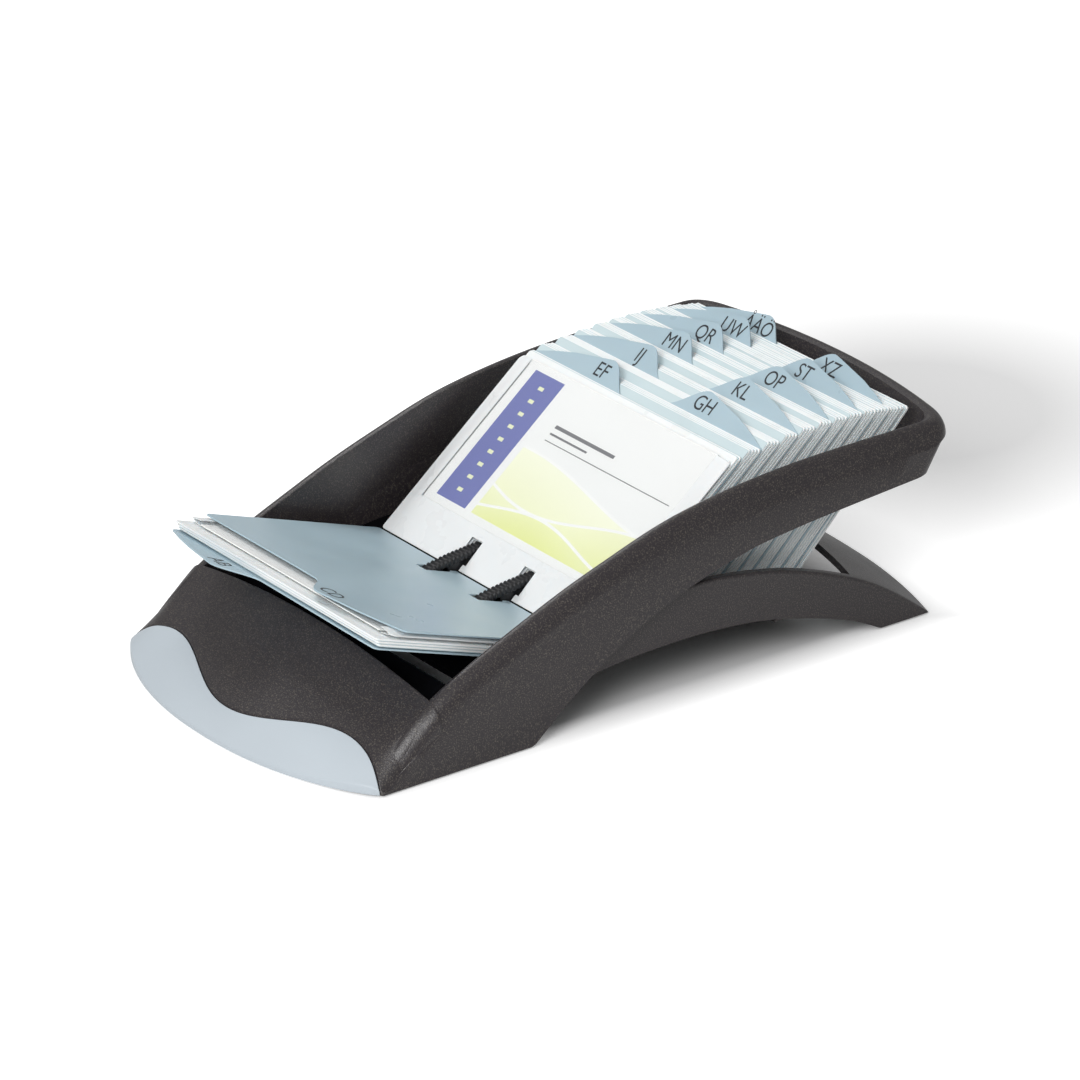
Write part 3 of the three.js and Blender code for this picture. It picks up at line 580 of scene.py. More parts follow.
@dataclass(frozen=True)
class CardPrint(Finish):
    """A made-up business card face: a blue side band with pale squares, rolling yellow-green hills with
    white crests, and grey rules. A box is its left, right, lower and upper limit on the card's map."""

    blue: Colour = (0.065, 0.088, 0.40)
    lime: Colour = (0.74, 0.80, 0.06)
    ink: Colour = (0.09, 0.09, 0.10)
    haze: Colour = (1.0, 1.0, 0.93)
    crest: Colour = (0.95, 0.95, 0.93)
    pale: Colour = (0.82, 0.86, 0.55)
    rules: tuple[Box, ...] = (
        (0.3, 0.97, 0.612, 0.618), (0.3, 0.62, 0.70, 0.722), (0.3, 0.5, 0.655, 0.668)
    )
    band: Box = (0.045, 0.205, 0.05, 0.95)
    square_count: float = 11.0
    square: Box = (0.112, 0.138, 0.36, 0.62)
    square_run: Box = (0.0, 1.0, 0.09, 0.91)
    meadow: Box = (0.24, 0.97, 0.05, 1.0)
    hills: tuple[Hill, ...] = (
        Hill(0.46, 0.08, 4.2, 0.4, 0.36), Hill(0.30, 0.09, 5.6, 2.2, 0.66), Hill(0.15, 0.06, 7.0, 4.1, 0.95)
    )
    fade: float = 0.3
    crest_width: float = 0.018

    def paint(self, tree: Tree, place: bpy.types.NodeSocket) -> bpy.types.NodeSocket:
        """Lays the print over white board on the card's own map: u across, v up the card.

        Args:
            tree: The material's nodes.
            place: Object coordinates; not used.

        Returns:
            The printed colour.
        """
        uv = tree.add("ShaderNodeSeparateXYZ", {0: tree.add("ShaderNodeTexCoord").outputs["UV"]})
        u, v = uv.outputs[:2]
        colour = super().paint(tree, place)
        for hill in self.hills:
            colour = self.draw(tree, hill, u, v, colour)
        for rule in self.rules:
            colour = tree.mix(self.inside(tree, u, v, rule), colour, (*self.ink, 1))
        colour = tree.mix(self.inside(tree, u, v, self.band), colour, (*self.blue, 1))
        step = tree.math("FRACT", tree.math("MULTIPLY", v, self.square_count))
        squares = tree.math(
            "MULTIPLY", self.inside(tree, u, step, self.square), self.inside(tree, u, v, self.square_run)
        )
        return tree.mix(squares, colour, (*self.pale, 1))

    @staticmethod
    def inside(tree: Tree, u: object, v: object, box: Box) -> bpy.types.NodeSocket:
        """A mask that is 1 inside a box of the map: the product of four steps."""
        left, right, low, high = box
        across = tree.math("MULTIPLY", tree.math("GREATER_THAN", u, left), tree.math("LESS_THAN", u, right))
        up = tree.math("MULTIPLY", tree.math("GREATER_THAN", v, low), tree.math("LESS_THAN", v, high))
        return tree.math("MULTIPLY", across, up)

    def draw(self, tree: Tree, hill: Hill, u: object, v: object, under: object) -> bpy.types.NodeSocket:
        """Lays a hill over a colour: below its white crest the lime grows stronger downwards.

        Args:
            tree: The material's nodes.
            hill: The hill.
            u: The map's place across.
            v: The map's place up.
            under: The colour so far.

        Returns:
            The colour with the hill on it.
        """
        wave = tree.math("SINE", tree.math("ADD", tree.math("MULTIPLY", u, hill.waves), hill.phase))
        line = tree.math("ADD", tree.math("MULTIPLY", wave, hill.height), hill.base)
        below = tree.math("SUBTRACT", line, v)
        fill = tree.range(below, 0.0, self.fade, (hill.strength * 0.55, hill.strength))
        slope = tree.math("MULTIPLY", tree.math("GREATER_THAN", below, 0.0), self.inside(tree, u, v, self.meadow))
        colour = tree.mix(slope, under, tree.mix(fill, (*self.haze, 1), (*self.lime, 1)))
        crest = tree.math("MULTIPLY", slope, tree.math("LESS_THAN", below, self.crest_width))
        return tree.mix(crest, colour, (*self.crest, 1))


BODY_FINISH = Finish(
    "charcoal_grained_plastic", (0.023, 0.0185, 0.0215), 0.36, grain_size=0.40, grain_depth=0.07,
    peak_colour=(0.100, 0.088, 0.074), rough_spread=0.04, tone_amount=0.14, specular=0.6,
)
GRIP_FINISH = Finish(
    "pale_grip_plastic", (0.50, 0.555, 0.60), 0.42, grain_size=0.5, grain_depth=0.012, tone_amount=0.05, tone_size=40
)
RAIL_FINISH = Finish("rail_black", (0.012, 0.012, 0.014), 0.5, grain_size=0.3, grain_depth=0.02)
# Near-black without shine: on the carrier its own black darkened further as painted shade of the well, on the tray's
# shelf painted shade only.
CARRIER_AND_WELL_SHADE_FINISH = Finish(
    "carrier_matt_black", (0.005, 0.005, 0.006), 0.9, grain_size=0.5, grain_depth=0.02, specular=0.0
)
DIVIDER_FINISH = Finish(
    "divider_blue_film", (0.42, 0.545, 0.61), 0.34, grain_size=0.8, grain_depth=0.006, tone_amount=0.06, tone_size=25,
    translucence=0.15,
)
PAGE_FINISH = Finish(
    "pocket_edges_white", (0.91, 0.945, 0.95), 0.32, grain_size=1.2, grain_depth=0.006, tone_amount=0.06, tone_size=12,
    translucence=0.2,
)
# Painted shade: the grey of every second film stands in for the shade in the gaps between a pack's films.
PAINTED_GAP_SHADE_FINISH = replace(
    PAGE_FINISH, name="pocket_edges_grey", colour=(0.60, 0.71, 0.735), roughness=0.4, translucence=0.0
)
FILM_FINISH = Finish(
    "clear_pocket_film", (0.92, 0.95, 0.96), 0.16, grain_size=2.0, grain_depth=0.004, tone_amount=0.03, alpha=0.08
)
RIM_FINISH = replace(
    PAGE_FINISH, name="pocket_rim_film", colour=(0.88, 0.915, 0.93), roughness=0.3, tone_amount=0.04
)
BOARD_FINISH = Finish("card_white_board", (0.90, 0.905, 0.89), 0.55, grain_size=0.25, grain_depth=0.004)
PRINT_FINISH = CardPrint("card_print", (0.90, 0.905, 0.89), 0.42, grain_size=0.25, grain_depth=0.003, tone_amount=0.02)
INK_FINISH = Finish("index_ink", (0.022, 0.026, 0.032), 0.5, grain_size=0.3, grain_depth=0.004)
RUBBER_FINISH = Finish("foot_grey_rubber", (0.045, 0.045, 0.048), 0.8, grain_size=0.6, grain_depth=0.03)
STEEL_FINISH = Finish(
    "screw_zinc", (0.48, 0.49, 0.50), 0.3, grain_size=0.4, grain_depth=0.01, metallic=1.0, tone_size=3
)


class Paints:
    """Hands out each finish's material, made at its first use."""

    def __init__(self) -> None:
        """Builds the shared groups."""
        self.effects = SharedEffects()
        self.made: dict[Finish, bpy.types.Material] = {}

    def __getitem__(self, finish: Finish) -> bpy.types.Material:
        """The material of a finish."""
        if finish not in self.made:
            self.made[finish] = finish.build(self.effects)
        return self.made[finish]


@dataclass
class Tray:
    """The tray: a crowned front plate with a pale nose grip, two rising arms and a rear wall."""

    paints: Paints
    round_top: float = 5.5
    lean: float = 7.3
    wall: float = 4.5
    nose_depth: float = along(0.0826)
    nose_powers: tuple[float, float] = (2.2, 0.83)
    wave: float = 6.5
    wave_half: float = HALF_WIDTH * 0.733
    wave_middle: float = 0.8
    joint: float = 0.15
    grip_skin: float = 2.2
    grip_inset: float = 0.9
    rise: tuple[float, float, float] = (-0.047, 0.337, 0.068)
    crown: float = 5.0
    nose_soft: float = 8.0
    edges: tuple[float, float] = (0.35, 0.6)
    grip_edges: tuple[float, float] = (0.5, 0.35)
    side_sink: float = 0.012
    rear_bow: float = 8.0
    rear_lean: float = 8.5
    corner: float = 9.0
    opening_dip: float = 2.0
    side_steps: int = 130
    turn_steps: int = 15
    rear_steps: int = 31
    shelf_length: float = 17.0
    shelf_skin: float = 2.4

    @property
    def nose_corner(self) -> float:
        """Where the bowed nose meets the straight sides."""
        return NOSE_Y + self.nose_depth

    def build(self) -> None:
        """Makes the tray, its shelf and its grip."""
        tray = mesh_object("tray_shell", join([self.plate(), self.wall_shell()]), [self.paints[BODY_FINISH]])
        dress(tray, "stand", Slot.BODY, "tray_frame")
        # The shelf, part of the grained body moulding, takes the near-black finish as painted shade of the well.
        dress(mesh_object("tray_shelf", self.shelf(), [self.paints[CARRIER_AND_WELL_SHADE_FINISH]]), "stand", Slot.BODY)
        grip = mesh_object("nose_cap", self.grip(), [self.paints[GRIP_FINISH]])
        dress(grip, "stand", Slot.GRIP, "nose_grip")

    def nose_line(self, x: Array) -> Array:
        """Front edge in plan: a super-ellipse that is full in the middle and tightens into the corners."""
        inner, outer = self.nose_powers
        share = np.clip(np.abs(x) / HALF_WIDTH, 0, 1)
        return self.nose_corner - self.nose_depth * (1 - share**inner) ** outer

    def wave_line(self, x: Array) -> Array:
        """Joint between plate and grip in plan: one cosine wave across the nose."""
        return NOSE_Y + self.wave_middle * self.nose_depth - self.wave * np.cos(math.pi * x / self.wave_half)

    def plate_top(self, x: Array, y: Array) -> Array:
        """Height of the front plate: a parabola along Y, crowned across, with quarter-round sides that grow
        softer towards the nose."""
        share = (y - NOSE_Y) / (PLATE_REAR - NOSE_Y)
        soft = self.round_top + self.nose_soft * smoothstep(1 - share, 0, 0.7)
        side = HALF_WIDTH - soft
        start, slope, bend = self.rise
        rise = WALL_HEIGHT * (start + slope * share + bend * share**2)
        crown = self.crown * (1 - (x / side) ** 2)
        drop = np.minimum(1, np.maximum(rise - SOLE, 0) * 0.75 / soft) * quarter_round(x, HALF_WIDTH, soft)
        return np.maximum(rise + crown - drop, SOLE + 1)

    def patch(self, x: Array, front: Array, rear: Array, edges: tuple[float, float]) -> Array:
        """A strip of the plate's top between two lines in plan, rounded over at both of them.

        Args:
            x: Columns across.
            front: The front line's Y in each column.
            rear: The rear line's Y in each column.
            edges: Radius of the rounding at the front and at the rear.

        Returns:
            Points in the shape (column, row, 3). A row at angle t of a rounding stands radius * (1 - sin t)
            in from the line and radius * (1 - cos t) down from the top.
        """
        quarter = np.linspace(0, math.pi / 2, 6)
        inner = np.linspace(0, 1, 40)[1:-1]
        span = np.maximum(rear - front, 0.01)[:, None]
        reach = np.minimum(np.array(edges), 0.45 * span)
        starts = front[:, None] + reach[:, :1] * (1 - np.cos(quarter))
        ends = rear[:, None] - reach[:, 1:] * (1 - np.cos(quarter[::-1]))
        middle = starts[:, -1:] + (ends[:, :1] - starts[:, -1:]) * inner
        y = np.concatenate([starts, middle, ends], axis=1)
        drop = np.concatenate(
            [reach[:, :1] * (1 - np.sin(quarter)), np.zeros_like(middle), reach[:, 1:] * (1 - np.sin(quarter[::-1]))],
            axis=1,
        )
        xs = np.broadcast_to(x[:, None], y.shape)
        z = np.maximum(self.plate_top(xs, y) - drop, SOLE + 0.3)
        return np.stack([xs, y, z], axis=-1)

    @staticmethod
    def columns(limit: float, count: int = 121) -> Array:
        """Places across between both limits, closer to each other at the sides."""
        return limit * np.sin(np.linspace(-math.pi / 2, math.pi / 2, count))

    def plate(self) -> Shell:
        """The grained front plate, from the wavy joint to its rear edge, drawn in a hair beside the arms."""
        x = self.columns(HALF_WIDTH)
        front = np.maximum(self.nose_line(x), self.wave_line(x) + self.joint)
        top = self.patch(x, front, np.full_like(x, PLATE_REAR), self.edges)
        top[..., 0] *= 1 - self.side_sink * smoothstep(top[..., 1], self.nose_corner, PLATE_REAR - 4)
        foot = top.copy()
        foot[..., 2] = SOLE
        return slab(top, foot)

    def grip(self) -> Shell:
        """The pale cap over the nose, a skin that thins out towards the table."""
        x = self.columns(HALF_WIDTH - self.grip_inset)
        front = self.nose_line(x)
        rear = np.maximum(self.wave_line(x) - self.joint, front + 0.05)
        top = self.patch(x, front, rear, self.grip_edges)
        under = top.copy()
        under[..., 2] = np.maximum(top[..., 2] - self.grip_skin, SOLE)
        return slab(top, under)

    def wall_line(self, half: Array, rear: Array) -> Array:
        """One level line of the wall in plan for each level: up the right side, round a parabola at the
        corner, along the bowed rear, and back by mirror.

        Args:
            half: Half width of each level.
            rear: Rearmost Y of each level.

        Returns:
            Points in the shape (place, level, 2).
        """
        corner = half - self.corner
        bow = rear - self.rear_bow * (corner / half) ** 2
        start = self.nose_corner + 1.2
        t = np.linspace(0, 1, self.side_steps)[:, None]
        side_y = start + (bow - self.corner - start) * t
        side = np.stack([np.broadcast_to(half, side_y.shape), side_y], axis=-1)
        t = np.linspace(0, 1, self.turn_steps)[1:, None]
        legs = ((1 - t) ** 2, 2 * t * (1 - t), t**2)
        turn_x = legs[0] * half + legs[1] * half + legs[2] * corner
        turn_y = legs[0] * (bow - self.corner) + legs[1] * (rear - self.rear_bow) + legs[2] * bow
        t = np.linspace(1, 0, self.rear_steps)[1:, None]
        rear_x = corner * t
        rear_y = rear - self.rear_bow * (rear_x / half) ** 2
        right = np.concatenate(
            [side, np.stack([turn_x, turn_y], axis=-1), np.stack([rear_x, rear_y], axis=-1)], axis=0
        )
        return np.concatenate([right, right[-2::-1] * (-1, 1)], axis=0)

    def wall_shell(self) -> Shell:
        """Arms and rear wall: a section of eight levels, leaning in at the sides and out at the rear, with
        a Catmull-Rom crest over a straight side, carried along the wall line. At the plate it keeps under
        it, and over the side openings its inner foot dips."""
        inward = np.array([0, 0.4, 1.6, 2.6, 4.4, 6.2, self.lean, self.wall])
        rear = REAR_Y - np.array([self.rear_lean, 3, 0.2, 0, 0.5, 1.8, 4, self.rear_lean + self.wall])
        share = np.array([0, 0.55, 1, 1, 1, 1, 1, 0])
        drop = np.array([0, 0, 0.95, 0.5, 0.14, 0, 0.1, 0])
        line = self.wall_line(HALF_WIDTH - inward, rear)
        y = np.minimum(line[:, 0, 1], along(0.413))
        foot = np.where(y < along(-0.194), SOLE, ARM_FOOT(y))[:, None]
        top = ARM_TOP(y)[:, None]
        rounding = np.minimum(self.round_top, (top - foot) * 0.6)
        z = foot + (top - foot) * share - drop * rounding
        opening = smoothstep(y, along(-0.12), along(-0.02)) * smoothstep(-y, -along(0.3), -along(0.15))
        z[:, -1] -= self.opening_dip * opening
        levels = np.concatenate([line, z[..., None]], axis=-1)
        side = levels[:, 1:3]
        length = np.linalg.norm(side[:, 1] - side[:, 0], axis=1)[:, None, None]
        knee = side[:, 1:] + (side[:, :1] - side[:, 1:]) * np.minimum(2.5 / length, 0.7)
        crest = catmull_rom(np.swapaxes(np.concatenate([knee, levels[:, 2:7]], axis=1), 0, 1), 6)
        inner = levels[:, 6:7] + (levels[:, 7:] - levels[:, 6:7]) * np.array([0.02, 0.5, 1])[None, :, None]
        section = np.concatenate([levels[:, :2], np.swapaxes(crest, 0, 1), inner], axis=1)
        x, y, z = np.moveaxis(section, -1, 0)
        covered = np.where(y < PLATE_REAR - 1, np.minimum(z, self.plate_top(x, y) - 0.05), z)
        return tube(np.stack([x, np.minimum(y, REAR_Y), np.maximum(covered, SOLE)], axis=-1))

    def shelf(self) -> Shell:
        """The shelf behind the plate, laid over the foot of the stand."""
        half = HALF_WIDTH - self.wall + 1
        y = np.linspace(PLATE_REAR - 1, PLATE_REAR + self.shelf_length, 12)
        xs, ys = np.meshgrid(np.linspace(-half, half, 3), y, indexing="ij")
        under = STAND_TOP(np.maximum(ys, along(-0.325))) + SEAT_GAP
        return slab(*(np.stack([xs, ys, under + lift], axis=-1) for lift in (self.shelf_skin, 0)))


@dataclass
class Stand:
    """The arched stand with its well, the rail carrier, two ribbed rails, the feet and the screws."""

    paints: Paints
    carrier: bpy.types.Object
    flange: float = 3.0
    edge_round: float = 1.1
    well_front: float = along(-0.2645)
    well_rear: float = along(0.302)
    rail_front: float = along(-0.1736)
    rail_rear: float = along(0.2397)
    head_lift: float = 4.5
    head_half: float = 2.1
    head_height: float = 2.1
    web_half: float = 0.8
    rib_pitch: float = 1.5
    rib_swell: tuple[float, float] = (0.25, 0.5)
    rib_angle: float = 50.0
    tabs: tuple[float, ...] = (-0.107, 0.025, 0.157)
    ledges: tuple[float, ...] = (-0.083, 0.062, 0.207)
    front_foot: tuple[float, float] = (FOOT_X, NOSE_Y + 25)
    rear_foot: tuple[float, float] = (HALF_WIDTH - 25.5, REAR_Y - 16)
    foot_radius: float = 5.0
    rear_boss: tuple[float, float] = (6.4, 1.9)
    screw_boss: tuple[float, float] = (4.4, 3.0)
    tab_half: float = 4.5
    pad_reach: tuple[float, float] = (2.9, 6.0)

    def build(self) -> None:
        """Makes every fixed piece of the stand."""
        arch = mesh_object("arch_shell", self.arch())
        cut(arch, self.well())
        arch.data.materials.append(self.paints[BODY_FINISH])
        dress(arch, "stand", Slot.BODY, "base_arch")
        dress(mesh_object("arch_bosses", join(self.bosses()), [self.paints[BODY_FINISH]]), "stand", Slot.BODY)
        # The carrier's own black, darkened further as painted shade of the well.
        for place in self.carrier.material_slots:
            place.link = "OBJECT"
            place.material = self.paints[CARRIER_AND_WELL_SHADE_FINISH]
        for side in Side:
            word = side.name.lower()
            rail = mesh_object(f"ribbed_rail_{word}", self.rail(side), [self.paints[RAIL_FINISH]], self.rib_angle)
            dress(rail, "stand", Slot.RAIL, f"rail_{word}")
            for place, (x, y) in (("front", self.front_foot), ("rear", self.rear_foot)):
                shell = self.foot(side.value * x, y)
                foot = mesh_object(f"rubber_foot_{place}_{word}", shell, [self.paints[RUBBER_FINISH]])
                dress(foot, "stand", Slot.RUBBER, f"foot_{place}_{word}")
            screw = mesh_object(f"cross_screw_{word}", self.screw(side), [self.paints[STEEL_FINISH]])
            dress(screw, "stand", Slot.STEEL, f"frame_screw_{word}")

    def arch(self) -> Shell:
        """The stand without its well: a section like a wide U turned over, with rounded shoulders, carried
        along the top profile and bowed to the rear in plan."""
        reach = np.linspace(STAND_TOP.places[0], STAND_TOP.places[-1], 4000)
        rear = reach[STAND_TOP(reach) > SOLE + 0.25].max()
        y = np.linspace(STAND_TOP.places[0], rear, 170)[:, None]
        top = STAND_TOP(y)
        slope = STAND_TOP(y + 0.5) - STAND_TOP(y - 0.5)
        foot = np.maximum(np.minimum(STAND_UNDER(y), top - 1), SOLE)
        radius = np.minimum(self.edge_round, 0.4 * np.maximum(top - foot, 0.1))
        turn = np.linspace(0, math.pi / 2, 7)
        shoulder_x = STAND_HALF - radius * (1 - np.cos(turn))
        shoulder_z = top - radius * (1 - np.sin(turn))
        middle_x = np.linspace(1, -1, 51)[1:-1] * (STAND_HALF - radius)
        edge = np.full_like(y, STAND_HALF)
        outer_x = np.concatenate([edge, shoulder_x, middle_x, -shoulder_x[:, ::-1], -edge], axis=1)
        outer_z = np.concatenate(
            [foot, shoulder_z, np.broadcast_to(top, middle_x.shape), shoulder_z[:, ::-1], foot], axis=1
        )
        inner = STAND_HALF - self.flange
        across = np.linspace(-1, 1, 25) * inner
        inner_x = np.broadcast_to(np.concatenate([[-inner], across, [inner]]), (len(y), len(across) + 2))
        roof = np.maximum(top - STAND_SKIN * np.hypot(1, slope), foot + 0.02)
        inner_z = np.concatenate([foot, np.broadcast_to(roof, (len(y), len(across))), foot], axis=1)
        x = np.concatenate([outer_x, inner_x], axis=1)
        z = np.maximum(np.concatenate([outer_z, inner_z], axis=1), SOLE)
        return tube(np.stack([x, y + stand_bow(x, np.broadcast_to(y, x.shape)), z], axis=-1))

    def well(self) -> Shell:
        """The upright cutter of the well, straight at the front and bowed at the rear. Only the flanges' width
        stays beside it."""
        half = STAND_HALF - self.flange + 0.4
        x = np.linspace(-half, half, 41)
        rear = self.well_rear + 2 + stand_bow(x, np.full_like(x, self.well_rear))
        xs = np.stack([x, x], axis=1)
        ys = np.stack([np.full_like(x, self.well_front), rear], axis=1)
        return slab(*(np.stack([xs, ys, np.full_like(xs, level)], axis=-1) for level in (WALL_HEIGHT, -5)))

    def bosses(self) -> list[Shell]:
        """Hidden bosses over the rear feet and the screws, and the ledges under the carrier."""
        shells = []
        for side in Side:
            for x, y, radius, foot in ((*self.rear_foot, *self.rear_boss), (FOOT_X, SCREW_Y, *self.screw_boss)):
                shells.append(self.boss(side.value * x, y, radius, foot))
            across = sorted(side.value * (STAND_HALF - reach) for reach in self.pad_reach)
            for share in self.ledges:
                y = along(share)
                low = float(STAND_UNDER(np.array([y - 3, y + 3])).min())
                shells.append(block(across, (y - 3, y + 3), (low - 0.6, low)))
        return shells

    @staticmethod
    def boss(x: float, y: float, radius: float, foot: float) -> Shell:
        """An upright boss that ends in the bowed skin over it.

        Args:
            x: Place of its axis across.
            y: Place of its axis along.
            radius: Its radius.
            foot: Height of its foot.

        Returns:
            The boss, its head cut to the slope of the skin.
        """
        turn = np.linspace(0, 2 * math.pi, 40, endpoint=False)
        across, back = x + radius * np.cos(turn), y + radius * np.sin(turn)
        skin = np.maximum(STAND_TOP(back - stand_bow(across, back)) - 0.7, SOLE + 0.1)
        rings = [np.minimum(foot, skin - 0.05), skin]
        return tube(np.stack([np.stack([across, back, level], axis=-1) for level in rings]))

    def rail(self, side: Side) -> Shell:
        """A ribbed T rail: the head's sides and top swell and shrink along Y by a rounded wave of the rib
        pitch, over a plain web.

        Args:
            side: Which rail.

        Returns:
            The rail with its three tabs.
        """
        ribs = int((self.rail_rear - self.rail_front) / self.rib_pitch)
        y = self.rail_front + np.linspace(0, ribs * self.rib_pitch, ribs * 8 + 1)[:, None]
        wave = smoothstep(np.cos(2 * math.pi * (y - self.rail_front) / self.rib_pitch), -0.5, 0.5)
        sideways, upwards = self.rib_swell
        under = carrier_top(y) + self.head_lift
        half = self.head_half - sideways + sideways * wave
        top = under + self.head_height + upwards * wave
        foot = carrier_top(y) + SEAT_GAP
        web = np.full_like(y, self.web_half)
        right_x = [web, web, half - 0.3, half, half, half - 0.6]
        right_z = [foot, under, under, under + 0.35, top - 0.6, top]
        x = np.concatenate(right_x + [-value for value in right_x[::-1]], axis=1)
        z = np.concatenate(right_z + right_z[::-1], axis=1)
        middle = side.value * RAIL_X
        shells = [tube(np.stack([middle + x, np.broadcast_to(y, x.shape), z], axis=-1))]
        for place in map(along, self.tabs):
            seat = float(carrier_top(place))
            shells.append(block((middle - self.web_half, middle + self.web_half),
                                (place - self.tab_half, place + self.tab_half),
                                (seat - CARRIER_THICKNESS - 1.6, seat + self.head_lift)))
        return join(shells)

    def foot(self, x: float, y: float) -> Shell:
        """A rubber disc with a rounded sole edge."""
        wide = self.foot_radius
        profile = [(0.01, 0), (wide - 0.6, 0), (wide - 0.2, 0.12), (wide, 0.45), (wide, 1.6), (0.01, 1.6)]
        return turned(profile, (x, y), 48)

    @staticmethod
    def screw(side: Side) -> Shell:
        """A pan-head screw seen from below, with a round recess and a threaded shank: the thread is a
        radius that swells at every turn."""
        seat = float(STAND_TOP(SCREW_Y)) - STAND_SKIN - 2.2 - SEAT_GAP / 2
        head = seat - 1.6
        profile = [(0.01, head + 0.7), (0.9, head + 0.7), (1.1, head), (2.2, head), (2.6, head + 0.5), (2.6, seat)]
        turns = np.linspace(0, 6.6, 34)
        thread = [(1.15 + 0.15 * math.cos(2 * math.pi * turn / 0.6), seat + turn) for turn in turns]
        return turned(profile + thread + [(0.01, seat + 7.2)], (side.value * FOOT_X, SCREW_Y), 32)


@dataclass
class Place:
    """Where a leaf stands: its turning line and its angle above the rear horizon."""

    y: float
    z: float
    angle: float

    def world(self, points: Array) -> Array:
        """Leaf coordinates (across, up the leaf, through it) in the part's frame."""
        up, through = points[..., 1], points[..., 2]
        sine, cosine = math.sin(self.angle), math.cos(self.angle)
        y = self.y + up * cosine - through * sine
        z = self.z + up * sine + through * cosine
        return np.stack([points[..., 0], y, z], axis=-1)

    def matrix(self) -> Matrix:
        """The same as a matrix, in metres."""
        return Matrix.Translation(Vector((0, self.y, self.z)) * MM) @ Matrix.Rotation(self.angle, 4, "X")

    def following(self, distance: float, direction: int, fan: float) -> "Place":
        """The next leaf's place: as far along the carrier as leaves at this angle need, square to them.

        Args:
            distance: Wanted distance between the leaves.
            direction: 1 to the rear, -1 to the nose.
            fan: Angle added.

        Returns:
            Its place.
        """
        step = np.arange(SEARCH_STEPS) * SEARCH_STEP
        y = self.y + direction * step
        z = carrier_top(y) + TURN_LIFT
        away = np.abs((y - self.y) * math.sin(self.angle) - (z - self.z) * math.cos(self.angle))
        at = int(np.argmax(away >= distance))
        return Place(float(y[at]), float(z[at]), self.angle + fan)


@dataclass
class Leaf:
    """A sheet that hooks on both rails: its outline, its keyhole slots and its place."""

    place: Place
    half: float = LEAF_HALF
    foot: float = -1.8
    top: float = 68.15
    corner: float = 1.8
    foot_corner: float = 1.0
    slot_half: float = 2.7
    mouth_half: float = 1.35
    lip: float = 0.45
    slot_top: float = 10.9

    def columns(self, trim: float, count: int) -> Array:
        """Column lines: evenly spaced, at both sides of each slot and mouth, and closer in the corners,
        where they stand at the sines of even angles."""
        half = self.half - trim
        slots = [side * RAIL_X + reach * width for side in (-1, 1) for reach in (-1, 1)
                 for width in (self.slot_half, self.mouth_half)]
        corner = half - self.corner + self.corner * np.sin(np.linspace(0, math.pi / 2, 6))
        spaced = np.linspace(-half + 2.4, half - 2.4, count)
        spaced = spaced[np.abs(spaced[:, None] - np.array(slots)).min(axis=1) > 0.25]
        return np.unique(np.round(np.concatenate([slots, spaced, corner, -corner]), 4))

    def sheet(self, outline: Callable[[Array], Array], depth: Callable[[Array, Array], Array], thickness: float,
              trim: float = 0.0, count: int = 14, rows: int = 8) -> Shell:
        """A thin sheet in the part's frame.

        Args:
            outline: Height of the sheet's top at places across.
            depth: How far the sheet stands out of its plane at places across and up.
            thickness: Its thickness.
            trim: What it is narrower at each side.
            count: Evenly spaced columns.
            rows: Rows above the slots.

        Returns:
            The closed sheet, with rounded corners at its foot.
        """
        x = self.columns(trim, count)
        base = np.minimum(self.foot + quarter_round(x, self.half - trim, self.foot_corner), self.lip - 0.2)
        upper = self.slot_top + (outline(x)[:, None] - self.slot_top) * np.linspace(0, 1, rows)
        y = np.concatenate([base[:, None], np.full((len(x), 1), self.lip), upper], axis=1)
        xs = np.broadcast_to(x[:, None], y.shape)
        through = depth(xs, y)
        centre = (x[:-1] + x[1:]) / 2
        away = np.abs(np.abs(centre) - RAIL_X)
        keep = np.ones((len(centre), y.shape[1] - 1), bool)
        keep[away < self.mouth_half, 0] = False
        keep[away < self.slot_half, 1] = False
        faces = [np.stack([xs, y, through + side * thickness / 2], axis=-1) for side in (1, -1)]
        return slab(*(self.place.world(face) for face in faces), keep)

    def straight(self, trim: float, lower: float, radius: float) -> Callable[[Array], Array]:
        """The outline of a plain sheet: level, with quarter-round corners."""
        def outline(x: Array) -> Array:
            """Height of the plain top at places across."""
            return self.top - lower - quarter_round(x, self.half - trim, radius)
        return outline


